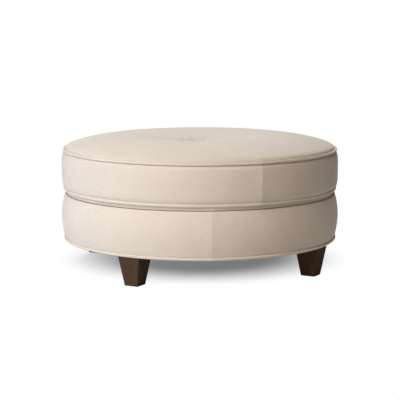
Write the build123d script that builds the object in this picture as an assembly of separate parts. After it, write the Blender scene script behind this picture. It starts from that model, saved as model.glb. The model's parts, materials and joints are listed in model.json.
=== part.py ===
from build123d import *

import math
import os

# Round upholstered ottoman coffee table: a padded drum with an attached, tufted cushion on four block legs.
#
# Lengths are in millimetres and +Z is up. The origin is on the floor, under the middle of the drum, and the
# four legs stand on the X and Y axes with their faces square to them. From the floor up the pieces are
# glides, legs, dust cover, drum frame with its cover, seat board with the cushion, and the tufting button.

# Cloth, board and the clearances between layers
layer_gap = 0.3
cloth_thickness = 1.2
dust_cloth_thickness = 0.8
board_thickness = 18
seam_gap = 0.5
cut_overrun = 1

# Legs and their glides
leg_count = 4
leg_height = 98.4
leg_top_width = 81
leg_foot_width = 50
leg_edge_ease = 1.6
leg_inset = 30.3
glide_radius = 11
glide_height = 3.2
glide_sides = 10

# Leg hardware: a hanger bolt in each leg, drawn up by a nut on the block inside the drum. The bolts, nuts
# and their holes are six-sided
hardware_sides = 6
bolt_radius = 4
bolt_depth_in_leg = 42
bolt_end_above_nut = 3
bolt_hole_gap = 0.25
nut_radius = 8.5
nut_height = 6.5

# Drum frame: two rings with octagonal openings, posts between them, and a board wrapped round them. All
# other pieces of the drum and the cushion take their radius from the rings
frame_height = 159.2
ring_radius = 461.3
ring_width = 89.3
opening_sides = 8
post_count = 8
post_depth = 38
post_width = 58
block_depth = 50
block_width = 120
block_height = 22
wall_thickness = 2.9
wall_joint_gap = 0.4
wall_half_count = 2

# Base cover: cloth on its wadding, which swells between the two welts
base_lip_thickness = 1.7
base_edge_thickness = 7.6
base_swell = 10.1
base_shoulder_drop = 5.5
base_shoulder_run = 5.4
base_power_share = 2
base_root_share = 1
base_station_shares = (-1, -0.7, -0.3, 0.3, 0.7, 1)

# Welts: covered cords, drawn as six-sided beads of the same section area. The two in the joint between drum
# and cushion are pressed flat behind, and have four sides
welt_radius = 4.6
welt_sides = 6

# Seat board, and the screws that hold it from under the top ring
seat_board_inset = 3.3
seat_screw_count = 8
seat_screw_radius = 2.2
seat_screw_length = 32
seat_screw_head_radius = 4.6
seat_screw_head_height = 3
screw_hole_gap = 0.2

# Cushion: a foam slab, a band round it and a crowned top
foam_height = 126.3
band_edge_thickness = 11
band_swell = 12
band_power_share = 4
band_root_share = 0.5
band_station_shares = (-1, -0.92, -0.6, 0.6, 0.92, 1)
bottom_welt_stand_out = 0.5
top_welt_stand_out = 2.4

# Crown of the top, with a flat plateau, and the broad hollow and tight pit that the button draws into it
top_rim_height = 9.1
crown_rise = 40.8
crown_plateau_radius = 280
crown_power_share = 2
crown_root_share = 0.6
hollow_radius = 175
hollow_depth = 26
pit_radius = 46
pit_depth = 7
crown_station_shares = (1, 0.93, 0.6, 0)
hollow_station_shares = (1, 0.6)
pit_station_shares = (1, 0.6)

# Tufting: the button, its wire shank, the doubled twine and the toggle that holds it under the seat board
tuft_hole_radius = 7
button_sides = 20
button_radius = 15
button_edge_height = 2.5
button_height = 7
button_crown_radius = 9
shank_wire = 1.5
shank_width = 8
shank_height = 9
twine_width = 1.6
toggle_length = 40
toggle_width = 6
toggle_height = 6

# Heights worked out from the sizes above, from the floor up
leg_top = glide_height + leg_height
dust_low = leg_top + layer_gap
frame_low = dust_low + dust_cloth_thickness + layer_gap
frame_top = frame_low + frame_height
post_low = frame_low + board_thickness
post_high = frame_top - board_thickness
block_top = post_low + block_height
base_cover_top = frame_top + cloth_thickness
seat_board_low = frame_top + layer_gap
seat_board_top = seat_board_low + board_thickness
foam_low = seat_board_top + layer_gap
foam_top = foam_low + foam_height

# A bead's half-height is its corner radius, and its half-width is the distance to its flats
bead_corner_radius = welt_radius * math.sqrt(2 * math.pi / (welt_sides * math.sin(2 * math.pi / welt_sides)))
bead_flat_radius = bead_corner_radius * math.cos(math.pi / welt_sides)

base_bottom_welt_z = dust_low + dust_cloth_thickness + bead_corner_radius
base_side_low = base_bottom_welt_z + bead_corner_radius + layer_gap
base_top_welt_z = base_cover_top + layer_gap + bead_corner_radius
cushion_bottom_welt_z = base_top_welt_z + 2 * bead_corner_radius + layer_gap
band_low = cushion_bottom_welt_z + bead_corner_radius + layer_gap
cushion_top_welt_z = foam_top + layer_gap + bead_corner_radius
top_low = foam_top + layer_gap
top_rim_z = top_low + top_rim_height
button_seat_z = top_rim_z + crown_rise - hollow_depth - pit_depth

# Radii worked out from the rings outwards
ring_opening_radius = ring_radius - ring_width
leg_circle_radius = ring_radius - leg_inset
wall_radius = ring_radius + layer_gap + wall_thickness
cover_inner_radius = wall_radius + layer_gap
base_lip_radius = cover_inner_radius + base_lip_thickness
base_bottom_welt_radius = base_lip_radius + layer_gap + bead_flat_radius
base_edge_radius = cover_inner_radius + base_edge_thickness
base_crest_radius = base_edge_radius + base_swell
seat_board_radius = ring_radius - seat_board_inset
margin_radius = seat_board_radius + layer_gap + cloth_thickness
base_top_welt_back = margin_radius + layer_gap
band_edge_radius = margin_radius + band_edge_thickness
band_crest_radius = band_edge_radius + band_swell
cushion_bottom_welt_back = band_edge_radius + bottom_welt_stand_out - bead_flat_radius
cushion_top_welt_radius = band_edge_radius + top_welt_stand_out
top_rim_radius = cushion_top_welt_radius - bead_flat_radius - layer_gap

# Where the sewn joints of the two bands lie, as angles from +X
base_seam_angle = -55.9
band_seam_angle = -35.7
panel_count = 3


def write(node, *solids):
    """Write one node's solids to its file, as a group where there are several."""
    shape = solids[0] if len(solids) == 1 else Compound(children=list(solids))
    export_step(shape, os.path.join("parts", node + ".step"))


def turned(points, start=0, sweep=360):
    """Turn a closed section of (radius, height) points about the Z axis."""
    section = make_face(Plane.XZ * Polyline(*points, close=True))
    return Rot(Z=start) * revolve(section, axis=Axis.Z, revolution_arc=sweep)


def sewn_panels(points, first_seam):
    """Panels of one section, equal shares of the circle, with a sewn joint between each pair."""
    joint = math.degrees(seam_gap / base_crest_radius)
    pitch = 360 / panel_count
    return [turned(points, first_seam + i * pitch + joint / 2, pitch - joint) for i in range(panel_count)]


def around(count, first_angle=0):
    """Turns that set out a number of equal pieces about the Z axis."""
    return [Rot(Z=first_angle + i * 360 / count) for i in range(count)]


def block(width_x, width_y, low, high):
    """An upright block about the Z axis, between two heights."""
    return Pos(Z=low) * Box(width_x, width_y, high - low, align=(Align.CENTER, Align.CENTER, Align.MIN))


def rod(radius, low, high):
    """An upright round bar about the Z axis, between two heights."""
    return Pos(Z=low) * Cylinder(radius, high - low, align=(Align.CENTER, Align.CENTER, Align.MIN))


def swelled_side(low, high, edge, crest, power, root, shares):
    """Section points up a stuffed side, drawn in to the edge radius at both of its seams."""
    middle = (low + high) / 2
    reach = (high - low) / 2
    return [(edge + (crest - edge) * (1 - abs(t) ** power) ** root, middle + t * reach) for t in shares]


def crown_height(radius):
    """Height of the cushion's top at a radius: a crown, less the hollow and the pit round the button."""
    share = max(radius - crown_plateau_radius, 0) / (top_rim_radius - crown_plateau_radius)
    height = top_rim_z + crown_rise * (1 - share ** crown_power_share) ** crown_root_share
    for reach, depth in ((hollow_radius, hollow_depth), (pit_radius, pit_depth)):
        if radius < reach:
            height -= depth * (1 - (radius / reach) ** 2) ** 2
    return height


# Legs and glides

def leg():
    """A square block leg, tapered on all four sides, with eased edges and a blind hole for its bolt."""
    inset = (leg_top_width - leg_foot_width) / 2
    block_shape = Wedge(leg_top_width, leg_height, leg_top_width, inset, inset, inset + leg_foot_width,
                        inset + leg_foot_width, align=(Align.CENTER, Align.MIN, Align.CENTER))
    body = Pos(Z=leg_top) * Rot(X=-90) * block_shape
    body = chamfer(body.edges().group_by(Axis.Z)[1], leg_edge_ease)
    return body - bolt_hole(leg_top - bolt_depth_in_leg - bolt_hole_gap, leg_top)


def glide():
    """A round glide under a leg, as a disc with a few flats."""
    return extrude(RegularPolygon(glide_radius, glide_sides), glide_height)


def hanger_bolt():
    """A bolt from inside a leg up through the ring and the block to its nut."""
    low = leg_top - bolt_depth_in_leg
    high = block_top + nut_height + bolt_end_above_nut
    return Pos(Z=low) * extrude(RegularPolygon(bolt_radius, hardware_sides), high - low)


def bolt_hole(low, high):
    """The clearance hole of a leg's bolt, between two heights."""
    outline = RegularPolygon(bolt_radius + bolt_hole_gap, hardware_sides)
    return Pos(Z=low) * extrude(outline, high + cut_overrun - low)


def leg_nut():
    """The nut that draws a leg up against the drum."""
    body = Pos(Z=block_top) * extrude(RegularPolygon(nut_radius, hardware_sides), nut_height)
    return body - bolt_hole(block_top - cut_overrun, block_top + nut_height)


# Drum frame

def bolt_holes(low, high):
    """Clearance holes for the four leg bolts, right through a piece between two heights."""
    hole = Pos(X=leg_circle_radius) * bolt_hole(low - cut_overrun, high)
    return [turn * hole for turn in around(leg_count)]


def frame_ring(low):
    """A round ring of board with an octagonal opening."""
    half_side = 180 / opening_sides
    opening = RegularPolygon(ring_opening_radius, opening_sides, major_radius=False, rotation=half_side)
    return Pos(Z=low) * extrude(Circle(ring_radius) - opening, board_thickness)


def top_ring():
    """The upper ring, with clearance holes for the seat screws."""
    hole = screw_hole(post_high - cut_overrun, frame_top + cut_overrun)
    return frame_ring(post_high) - at_seat_screws(hole)


def screw_hole(low, high):
    """The hole of a seat screw, between two heights."""
    outline = RegularPolygon(seat_screw_radius + screw_hole_gap, hardware_sides)
    return Pos(Z=low) * extrude(outline, high - low)


def at_seat_screws(piece):
    """Copies of a piece on the circle of the legs and posts, where the seat screws are."""
    return [turn * Pos(X=leg_circle_radius) * piece for turn in around(seat_screw_count)]


def seat_screw():
    """A screw up through the top ring into the seat board, its head under the ring."""
    head = RegularPolygon(seat_screw_head_radius, hardware_sides)
    shank = RegularPolygon(seat_screw_radius, hardware_sides)
    return Pos(Z=post_high - seat_screw_head_height) * extrude(head, seat_screw_head_height) + (
        Pos(Z=post_high) * extrude(shank, seat_screw_length))


def leg_block():
    """A block glued on the bottom ring, which gives a leg's bolt its depth of wood."""
    body = block(block_depth, block_width, post_low, block_top)
    body -= bolt_hole(post_low - cut_overrun, block_top)
    return Pos(X=leg_circle_radius) * body


def post():
    """An upright post between the rings, inside a corner of their openings."""
    return Pos(X=leg_circle_radius) * block(post_depth, post_width, post_low, post_high)


def wall_halves():
    """The board bent round the frame, in two halves."""
    joint = math.degrees(wall_joint_gap / wall_radius)
    inner = ring_radius + layer_gap
    section = [(inner, frame_low), (wall_radius, frame_low), (wall_radius, frame_top), (inner, frame_top)]
    pitch = 360 / wall_half_count
    return [turned(section, i * pitch + joint / 2, pitch - joint) for i in range(wall_half_count)]


def dust_cover():
    """The thin cloth under the drum, with a hole for each leg bolt."""
    sheet = rod(ring_radius, dust_low, dust_low + dust_cloth_thickness)
    return sheet - bolt_holes(dust_low, dust_low + dust_cloth_thickness)


# Covers and welts

def bead(radius, height):
    """A welt: a covered cord that runs round the piece in the seam, with a corner up and a corner down."""
    section = RegularPolygon(bead_corner_radius, welt_sides, rotation=180 / welt_sides)
    return revolve(Plane.XZ * Pos(radius, height) * section)


def pressed_bead(back, height):
    """A welt of the joint: as wide, as high and as large in section as the others, but flat behind."""
    front = back + 2 * bead_flat_radius
    half_front = bead_corner_radius / 2
    return turned([
        (back, height - bead_corner_radius), (front, height - half_front),
        (front, height + half_front), (back, height + bead_corner_radius),
    ])


def base_cover():
    """The stuffed band of the base: a swelled side over the board wall, and a lip behind the bottom welt."""
    side_top = base_cover_top - base_shoulder_drop
    side = swelled_side(base_side_low, side_top, base_edge_radius, base_crest_radius,
                        base_power_share, base_root_share, base_station_shares)
    section = [
        (cover_inner_radius, frame_low), (base_lip_radius, frame_low), (base_lip_radius, base_side_low),
        *side,
        (base_edge_radius - base_shoulder_run, base_cover_top), (cover_inner_radius, base_cover_top),
    ]
    return sewn_panels(section, base_seam_angle)


# Cushion

def bored_disc(low, high):
    """A round slab as wide as the seat board, with a hole for the tufting twine."""
    outline = RegularPolygon(tuft_hole_radius, hardware_sides)
    return rod(seat_board_radius, low, high) - Pos(Z=low - cut_overrun) * extrude(
        outline, high - low + 2 * cut_overrun)


def seat_board():
    """The board that carries the cushion, with blind holes for the screws from below."""
    hole_end = post_high + seat_screw_length + screw_hole_gap
    hole = screw_hole(seat_board_low - cut_overrun, hole_end)
    return bored_disc(seat_board_low, seat_board_top) - at_seat_screws(hole)


def cushion_band():
    """The band round the cushion: cloth on wadding, with a margin drawn down over the board's edge."""
    inner = seat_board_radius + layer_gap
    side = swelled_side(band_low, foam_top, band_edge_radius, band_crest_radius,
                        band_power_share, band_root_share, band_station_shares)
    section = [
        (inner, base_cover_top), (margin_radius, base_cover_top), (margin_radius, band_low),
        *side,
        (inner, foam_top),
    ]
    return sewn_panels(section, band_seam_angle)


def cushion_top():
    """The crowned top: cloth over its crown of wadding, drawn down to the button in the middle."""
    shoulder = top_rim_radius - crown_plateau_radius
    radii = [crown_plateau_radius + share * shoulder for share in crown_station_shares]
    radii += [share * hollow_radius for share in hollow_station_shares]
    radii += [share * pit_radius for share in pit_station_shares]
    outline = [(radius, crown_height(radius)) for radius in radii]
    seat = button_radius + layer_gap
    section = [
        (tuft_hole_radius, top_low), (top_rim_radius, top_low),
        *outline,
        (seat, button_seat_z), (tuft_hole_radius, button_seat_z),
    ]
    return turned(section)


# Tufting

def button():
    """A cloth-covered button, domed above a straight edge."""
    low = button_seat_z + layer_gap
    outline = RegularPolygon(button_radius, button_sides)
    dome_height = button_height - button_edge_height
    slope = math.degrees(math.atan2(button_radius - button_crown_radius, dome_height))
    brim = extrude(Pos(Z=low) * outline, button_edge_height)
    return brim + extrude(Pos(Z=low + button_edge_height) * outline, dome_height, taper=slope)


def button_shank():
    """The wire loop under the button."""
    high = button_seat_z + layer_gap
    loop = block(shank_wire, shank_width, high - shank_height, high)
    eye = block(shank_wire + cut_overrun, shank_width - 2 * shank_wire, high - shank_height + shank_wire,
                high - shank_wire)
    return loop - eye


def tuft_twine():
    """The doubled twine, through the shank and round the toggle, as one long loop."""
    high = button_seat_z + layer_gap - shank_height + shank_wire + layer_gap + twine_width
    low = seat_board_low - layer_gap - toggle_height - layer_gap - twine_width
    inner_width = toggle_width + 2 * layer_gap
    loop = block(inner_width + 2 * twine_width, twine_width, low, high)
    return loop - block(inner_width, twine_width + cut_overrun, low + twine_width, high - twine_width)


def tuft_toggle():
    """The bar under the seat board that the twine pulls against."""
    high = seat_board_low - layer_gap
    return block(toggle_width, toggle_length, high - toggle_height, high)


os.makedirs("parts", exist_ok=True)

for number, turn in enumerate(around(leg_count), 1):
    write(f"leg_{number}", turn * Pos(X=leg_circle_radius) * leg())
    write(f"leg_block_{number}", turn * leg_block())
for number, turn in enumerate(around(post_count, 180 / post_count), 1):
    write(f"post_{number}", turn * post())

at_legs = [turn * Pos(X=leg_circle_radius) for turn in around(leg_count)]
write("glides", *[place * glide() for place in at_legs])
write("hanger_bolts", *[place * hanger_bolt() for place in at_legs])
write("leg_nuts", *[place * leg_nut() for place in at_legs])

write("bottom_ring", frame_ring(frame_low) - bolt_holes(frame_low, post_low))
write("top_ring", top_ring())
write("seat_screws", *at_seat_screws(seat_screw()))
write("drum_wall", *wall_halves())
write("dust_cover", dust_cover())
write("base_cover", *base_cover())
write("base_bottom_welt", bead(base_bottom_welt_radius, base_bottom_welt_z))
write("base_top_welt", pressed_bead(base_top_welt_back, base_top_welt_z))

write("seat_board", seat_board())
write("cushion_core", bored_disc(foam_low, foam_top))
write("cushion_band", *cushion_band())
write("cushion_top", cushion_top())
write("cushion_bottom_welt", pressed_bead(cushion_bottom_welt_back, cushion_bottom_welt_z))
write("cushion_top_welt", bead(cushion_top_welt_radius, cushion_top_welt_z))

write("button", button())
write("button_shank", button_shank())
write("tuft_twine", tuft_twine())
write("tuft_toggle", tuft_toggle())
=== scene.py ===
import json
import logging
import math
from collections.abc import Callable
from dataclasses import dataclass
from enum import Enum
from functools import partial

import bmesh
import bpy
import numpy as np
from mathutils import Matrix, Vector


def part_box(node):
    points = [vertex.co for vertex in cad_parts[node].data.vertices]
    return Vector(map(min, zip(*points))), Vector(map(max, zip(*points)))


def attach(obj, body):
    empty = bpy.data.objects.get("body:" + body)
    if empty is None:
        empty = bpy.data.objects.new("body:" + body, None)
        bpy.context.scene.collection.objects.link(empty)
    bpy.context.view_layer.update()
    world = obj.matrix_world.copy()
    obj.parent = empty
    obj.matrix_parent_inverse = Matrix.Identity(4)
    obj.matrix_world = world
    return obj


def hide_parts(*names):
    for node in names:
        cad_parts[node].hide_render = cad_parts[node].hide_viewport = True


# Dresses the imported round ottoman: a stuffed drum with an attached, button-tufted cushion on four block legs.
# Lengths are metres, angles degrees unless a name says otherwise, and +Z is up.

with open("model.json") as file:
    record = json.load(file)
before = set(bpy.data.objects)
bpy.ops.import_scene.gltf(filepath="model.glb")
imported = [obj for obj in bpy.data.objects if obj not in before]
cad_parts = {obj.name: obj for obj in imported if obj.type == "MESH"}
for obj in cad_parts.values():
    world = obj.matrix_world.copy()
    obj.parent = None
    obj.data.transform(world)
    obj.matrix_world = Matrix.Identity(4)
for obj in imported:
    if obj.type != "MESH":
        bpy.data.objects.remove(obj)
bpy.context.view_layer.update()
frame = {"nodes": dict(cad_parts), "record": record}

log = logging.getLogger("ottoman")

MM = 0.001
ROUND = 2 * math.pi
MERGE_DISTANCE = 1e-7
CLOTH_UV = "cloth"
# The face attribute that scales the cloth's colour: painted light and shade on the bands' panels and welts, and
# the plain tone of the top and button
TONE_AND_PAINTED_SHADE = "cut_tone_and_painted_shade"
BODY = "root"
Socket = bpy.types.NodeSocket
# What an input can be linked to: a socket, or a node, which stands for its first output
Source = Socket | bpy.types.Node
# A function that adds a node to one tree
Adder = Callable[..., bpy.types.Node]


class Slot(Enum):
    """The record's material slots that the new pieces take their finish from."""

    LINEN = "linen"
    DUST_CLOTH = "dust_cloth"
    FOAM = "foam"
    STEEL = "zinc_steel"


class Grain(Enum):
    """The axis that the grain of a wooden piece runs along: Z for upright pieces and X for level ones."""

    LEVEL = 0
    UPRIGHT = 2


# Small tools for meshes and node trees


def linear(hex_colour: str) -> tuple[float, float, float, float]:
    """Turns an sRGB hex colour to the linear one that a socket takes.

    Args:
        hex_colour: The colour, as #RRGGBB.

    Returns:
        Red, green, blue and an alpha of one.
    """
    shares = [int(hex_colour[start:start + 2], 16) / 255 for start in (1, 3, 5)]
    curve = [c / 12.92 if c <= 0.04045 else ((c + 0.055) / 1.055) ** 2.4 for c in shares]
    return (*curve, 1.0)


def add(tree: bpy.types.NodeTree, kind: str, inputs: dict | None = None, **settings) -> bpy.types.Node:
    """Adds a node to a tree with its settings and links.

    Args:
        tree: The node tree that gets the node.
        kind: The node's type name.
        inputs: For each input's name or number, its value, the socket linked to it, or the node whose first
            output is linked to it.
        **settings: The node's own properties.

    Returns:
        The new node.
    """
    made = tree.nodes.new(kind)
    for name, value in settings.items():
        setattr(made, name, value)
    for socket, value in (inputs or {}).items():
        if isinstance(value, bpy.types.Node):
            value = value.outputs[0]
        if isinstance(value, Socket):
            tree.links.new(value, made.inputs[socket])
        else:
            made.inputs[socket].default_value = value
    return made


def new_material(name: str) -> tuple[bpy.types.Material, Adder]:
    """Makes an empty node material.

    Args:
        name: The material's name.

    Returns:
        The material, and what adds a node to its tree.
    """
    material = bpy.data.materials.new(name)
    material.use_nodes = True
    material.node_tree.nodes.clear()
    return material, partial(add, material.node_tree)


def end_material(put: Adder, colour: Source, rough: Source | float, relief: dict, shader: dict) -> None:
    """Ends a material's tree with its relief, its shader and its output.

    Args:
        put: What adds a node to the tree.
        colour: What gives the base colour.
        rough: What gives the roughness, or its value.
        relief: The inputs of the bump.
        shader: The shader's other inputs.
    """
    bump = put("ShaderNodeBump", relief)
    own = {"Base Color": colour, "Roughness": rough, "Normal": bump}
    put("ShaderNodeOutputMaterial", {"Surface": put("ShaderNodeBsdfPrincipled", own | shader)})


def smooth_object(name: str, mesh: bpy.types.Mesh, finish: bpy.types.Material) -> bpy.types.Object:
    """Puts a mesh into the scene, smooth-shaded, with its normals outward and one finish.

    Args:
        name: The piece's name.
        mesh: Its mesh, in place.
        finish: The material that covers it.

    Returns:
        The new object, at the origin.
    """
    work = bmesh.new()
    work.from_mesh(mesh)
    bmesh.ops.remove_doubles(work, verts=work.verts, dist=MERGE_DISTANCE)
    bmesh.ops.recalc_face_normals(work, faces=work.faces)
    work.to_mesh(mesh)
    work.free()
    mesh.shade_smooth()
    mesh.materials.clear()
    mesh.materials.append(finish)
    piece = bpy.data.objects.new(name, mesh)
    bpy.context.scene.collection.objects.link(piece)
    return piece


def woven_grid(name: str, places: np.ndarray, cloth: np.ndarray | None, closed: bool) -> bpy.types.Mesh:
    """Joins rows of points that run round the axis into a mesh of four-sided faces.

    Args:
        name: The mesh's name.
        places: The points, as rows by columns by three.
        cloth: Where each corner lies on the flat cloth, as rows by columns by two, with one more column, and
            one more row where the section is closed, or None where that is of no use.
        closed: Whether the last row joins the first.

    Returns:
        The mesh, with its cloth coordinates.
    """
    rows, columns = places.shape[:2]
    index = np.arange(rows * columns).reshape(rows, columns)
    index = np.concatenate([index, index[:, :1]], axis=1)
    if closed:
        index = np.concatenate([index, index[:1]], axis=0)
    corners = (slice(None, -1), slice(1, None))
    order = ((0, 0), (0, 1), (1, 1), (1, 0))
    faces = np.stack([index[corners[row], corners[column]] for row, column in order], axis=-1)
    mesh = bpy.data.meshes.new(name)
    mesh.from_pydata(places.reshape(-1, 3).tolist(), [], faces.reshape(-1, 4).tolist())
    if cloth is not None:
        flat = np.stack([cloth[corners[row], corners[column]] for row, column in order], axis=2)
        layer = mesh.uv_layers.new(name=CLOTH_UV)
        layer.data.foreach_set("uv", flat.reshape(-1).astype(np.float32))
    return mesh


def turned_places(section: np.ndarray, angles: np.ndarray, out: np.ndarray, up: np.ndarray) -> np.ndarray:
    """Turns a section about the axis, with a change of radius and height at each point.

    Args:
        section: The section, as rows of radius and height.
        angles: The columns' angles, in radians.
        out: What each point's radius gains, as rows by columns.
        up: What each point's height gains, as rows by columns.

    Returns:
        The points, as rows by columns by three.
    """
    radius = section[:, 0, None] + out
    height = section[:, 1, None] + up
    return np.stack([radius * np.cos(angles), radius * np.sin(angles), height + 0 * angles], axis=-1)


def turned_cloth(section: np.ndarray, angles: np.ndarray, radius: float, closed: bool) -> np.ndarray:
    """Lays cloth round a turned section, with its threads level and upright.

    Args:
        section: The section, as rows of radius and height.
        angles: The columns' angles, in radians.
        radius: The radius at which the cloth has its true width.
        closed: Whether the section closes on itself.

    Returns:
        The cloth's place at each corner, with one more column, and one more row for a closed section.
    """
    rows = np.concatenate([section, section[:1]]) if closed else section
    steps = np.linalg.norm(np.diff(rows, axis=0), axis=1)
    across = np.concatenate([[0], np.cumsum(steps)])
    along = np.append(angles, angles[0] + ROUND) * radius
    return np.stack(np.meshgrid(along, across), axis=-1)


def flat_cloth(places: np.ndarray, turn: float, closed: bool) -> np.ndarray:
    """Lays cloth straight down on a top, with its threads turned about the axis.

    Args:
        places: The points, as rows by columns by three.
        turn: The turn of the threads, in degrees.
        closed: Whether the last row joins the first.

    Returns:
        The cloth's place at each corner, with one more column, and one more row for a closed section.
    """
    angle = math.radians(turn)
    across = np.array([[math.cos(angle), -math.sin(angle)], [math.sin(angle), math.cos(angle)]])
    flat = places[..., :2] @ across
    flat = np.concatenate([flat, flat[:, :1]], axis=1)
    return np.concatenate([flat, flat[:1]], axis=0) if closed else flat


def turned_piece(name: str, section: np.ndarray, angles: np.ndarray, out: np.ndarray, up: np.ndarray,
                 finish: bpy.types.Material, closed: bool, radius: float | None = None,
                 turn: float = 0) -> bpy.types.Object:
    """Makes a piece by turning a section about the axis.

    Args:
        name: The piece's name.
        section: The section, as rows of radius and height.
        angles: The columns' angles, in radians.
        out: What each point's radius gains, as rows by columns.
        up: What each point's height gains, as rows by columns.
        finish: The material that covers it.
        closed: Whether the section closes on itself.
        radius: The radius at which cloth laid round it has its true width, or None for cloth laid flat.
        turn: The turn of the flat cloth's threads, in degrees.

    Returns:
        The piece.
    """
    places = turned_places(section, angles, out, up)
    if radius is None:
        cloth = flat_cloth(places, turn, closed)
    else:
        cloth = turned_cloth(section, angles, radius, closed)
    return smooth_object(name, woven_grid(name, places, cloth, closed), finish)


def ring_angles(count: int) -> np.ndarray:
    """The angles of even columns round the axis, in radians."""
    return np.linspace(0, ROUND, count, endpoint=False)


def ripple(angles: np.ndarray, radius: float, length: float, phases: tuple[float, ...]) -> np.ndarray:
    """Uneven waves round a ring, from a few whole numbers of waves laid over each other.

    Args:
        angles: Where the waves are wanted, in radians.
        radius: The ring's radius.
        length: The usual length of a wave.
        phases: One phase in radians for each set of waves.

    Returns:
        The waves' height, from about -1 to 1.
    """
    count = ROUND * radius / length
    fewest, most = 0.62, 1.47
    shares = np.linspace(fewest, most, len(phases))
    waves = [np.sin(round(count * share) * angles + phase) for share, phase in zip(shares, phases)]
    return np.sum(waves, axis=0) / math.sqrt(len(phases))


@dataclass(frozen=True)
class Joint:
    """The sewn joints of a ring of cloth, which their seam allowances push out into blunt ridges.

    Attributes:
        angle: The angle of the first joint, in degrees.
        count: How many joints go round.
        rise: How far the ridge stands out.
        spread: The distance in which it dies away to a third.
        round_off: How blunt its crest is.
    """

    angle: float
    count: int
    rise: float
    spread: float
    round_off: float

    def angles(self) -> np.ndarray:
        """The angles of the joints, in radians."""
        return np.radians(self.angle + np.arange(self.count) * 360 / self.count)

    def along(self, angles: np.ndarray, radius: float) -> np.ndarray:
        """The distance round the ring from each angle in radians to its nearest joint."""
        gap = (angles[:, None] - self.angles() + math.pi) % ROUND - math.pi
        return gap[np.arange(len(angles)), np.abs(gap).argmin(axis=1)] * radius

    def ridge(self, along: np.ndarray) -> np.ndarray:
        """How far the ridge stands out at a distance from the joint."""
        blunt = np.sqrt(along**2 + self.round_off**2) - self.round_off
        return self.rise * np.exp(-blunt / self.spread)


# Where the panels of the two bands are joined, and how far the layers of seam allowance push the cloth out
BASE_JOINT = Joint(-55.9, 3, rise=3.6 * MM, spread=27 * MM, round_off=2.5 * MM)
CUSHION_JOINT = Joint(-36.2, 3, rise=3.6 * MM, spread=30 * MM, round_off=3 * MM)


@dataclass(frozen=True)
class Puckers:
    """The small puckers that a welt's stitches draw into the cloth beside it.

    Attributes:
        height: Their height.
        length: Their usual length along the welt.
        reach: How far from the welt they die away to a third.
        start: How far from it they have their full height.
    """

    height: float
    length: float
    reach: float
    start: float = 4 * MM

    def lift(self, distance: np.ndarray, angles: np.ndarray, radius: float,
             phases: tuple[float, ...]) -> np.ndarray:
        """How far the puckers stand out.

        Args:
            distance: Each point's distance from the welt.
            angles: Its angle, in radians.
            radius: The welt's radius.
            phases: The phases of the waves that make them.

        Returns:
            What each point gains.
        """
        fade = np.exp(-distance / self.reach) * np.minimum(1, distance / self.start)
        return self.height * fade * ripple(angles, radius, self.length, phases)


def spline_weights(share: np.ndarray) -> list[np.ndarray]:
    """The four weights of a cubic B-spline at a share of the way from the second point to the third."""
    s = share
    return [(1 - s) ** 3 / 6, (3 * s**3 - 6 * s**2 + 4) / 6, (-3 * s**3 + 3 * s**2 + 3 * s + 1) / 6, s**3 / 6]


def sample_field(field: np.ndarray, row: np.ndarray, column: np.ndarray, round_columns: bool) -> np.ndarray:
    """Reads a grid of numbers smoothly between its points.

    Args:
        field: The grid.
        row: The wanted rows, as fractions.
        column: The wanted columns, as fractions, of the same shape.
        round_columns: Whether the last column is followed by the first.

    Returns:
        The numbers at the wanted places.
    """
    low_row, low_column = np.floor(row).astype(int), np.floor(column).astype(int)
    row_weights, column_weights = spline_weights(row - low_row), spline_weights(column - low_column)
    total = np.zeros(np.broadcast(row, column).shape)
    for i, row_weight in enumerate(row_weights):
        at_row = np.clip(low_row + i - 1, 0, field.shape[0] - 1)
        for j, column_weight in enumerate(column_weights):
            at_column = low_column + j - 1
            if round_columns:
                at_column = at_column % field.shape[1]
            else:
                at_column = np.clip(at_column, 0, field.shape[1] - 1)
            total += row_weight * column_weight * field[at_row, at_column]
    return total


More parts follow.
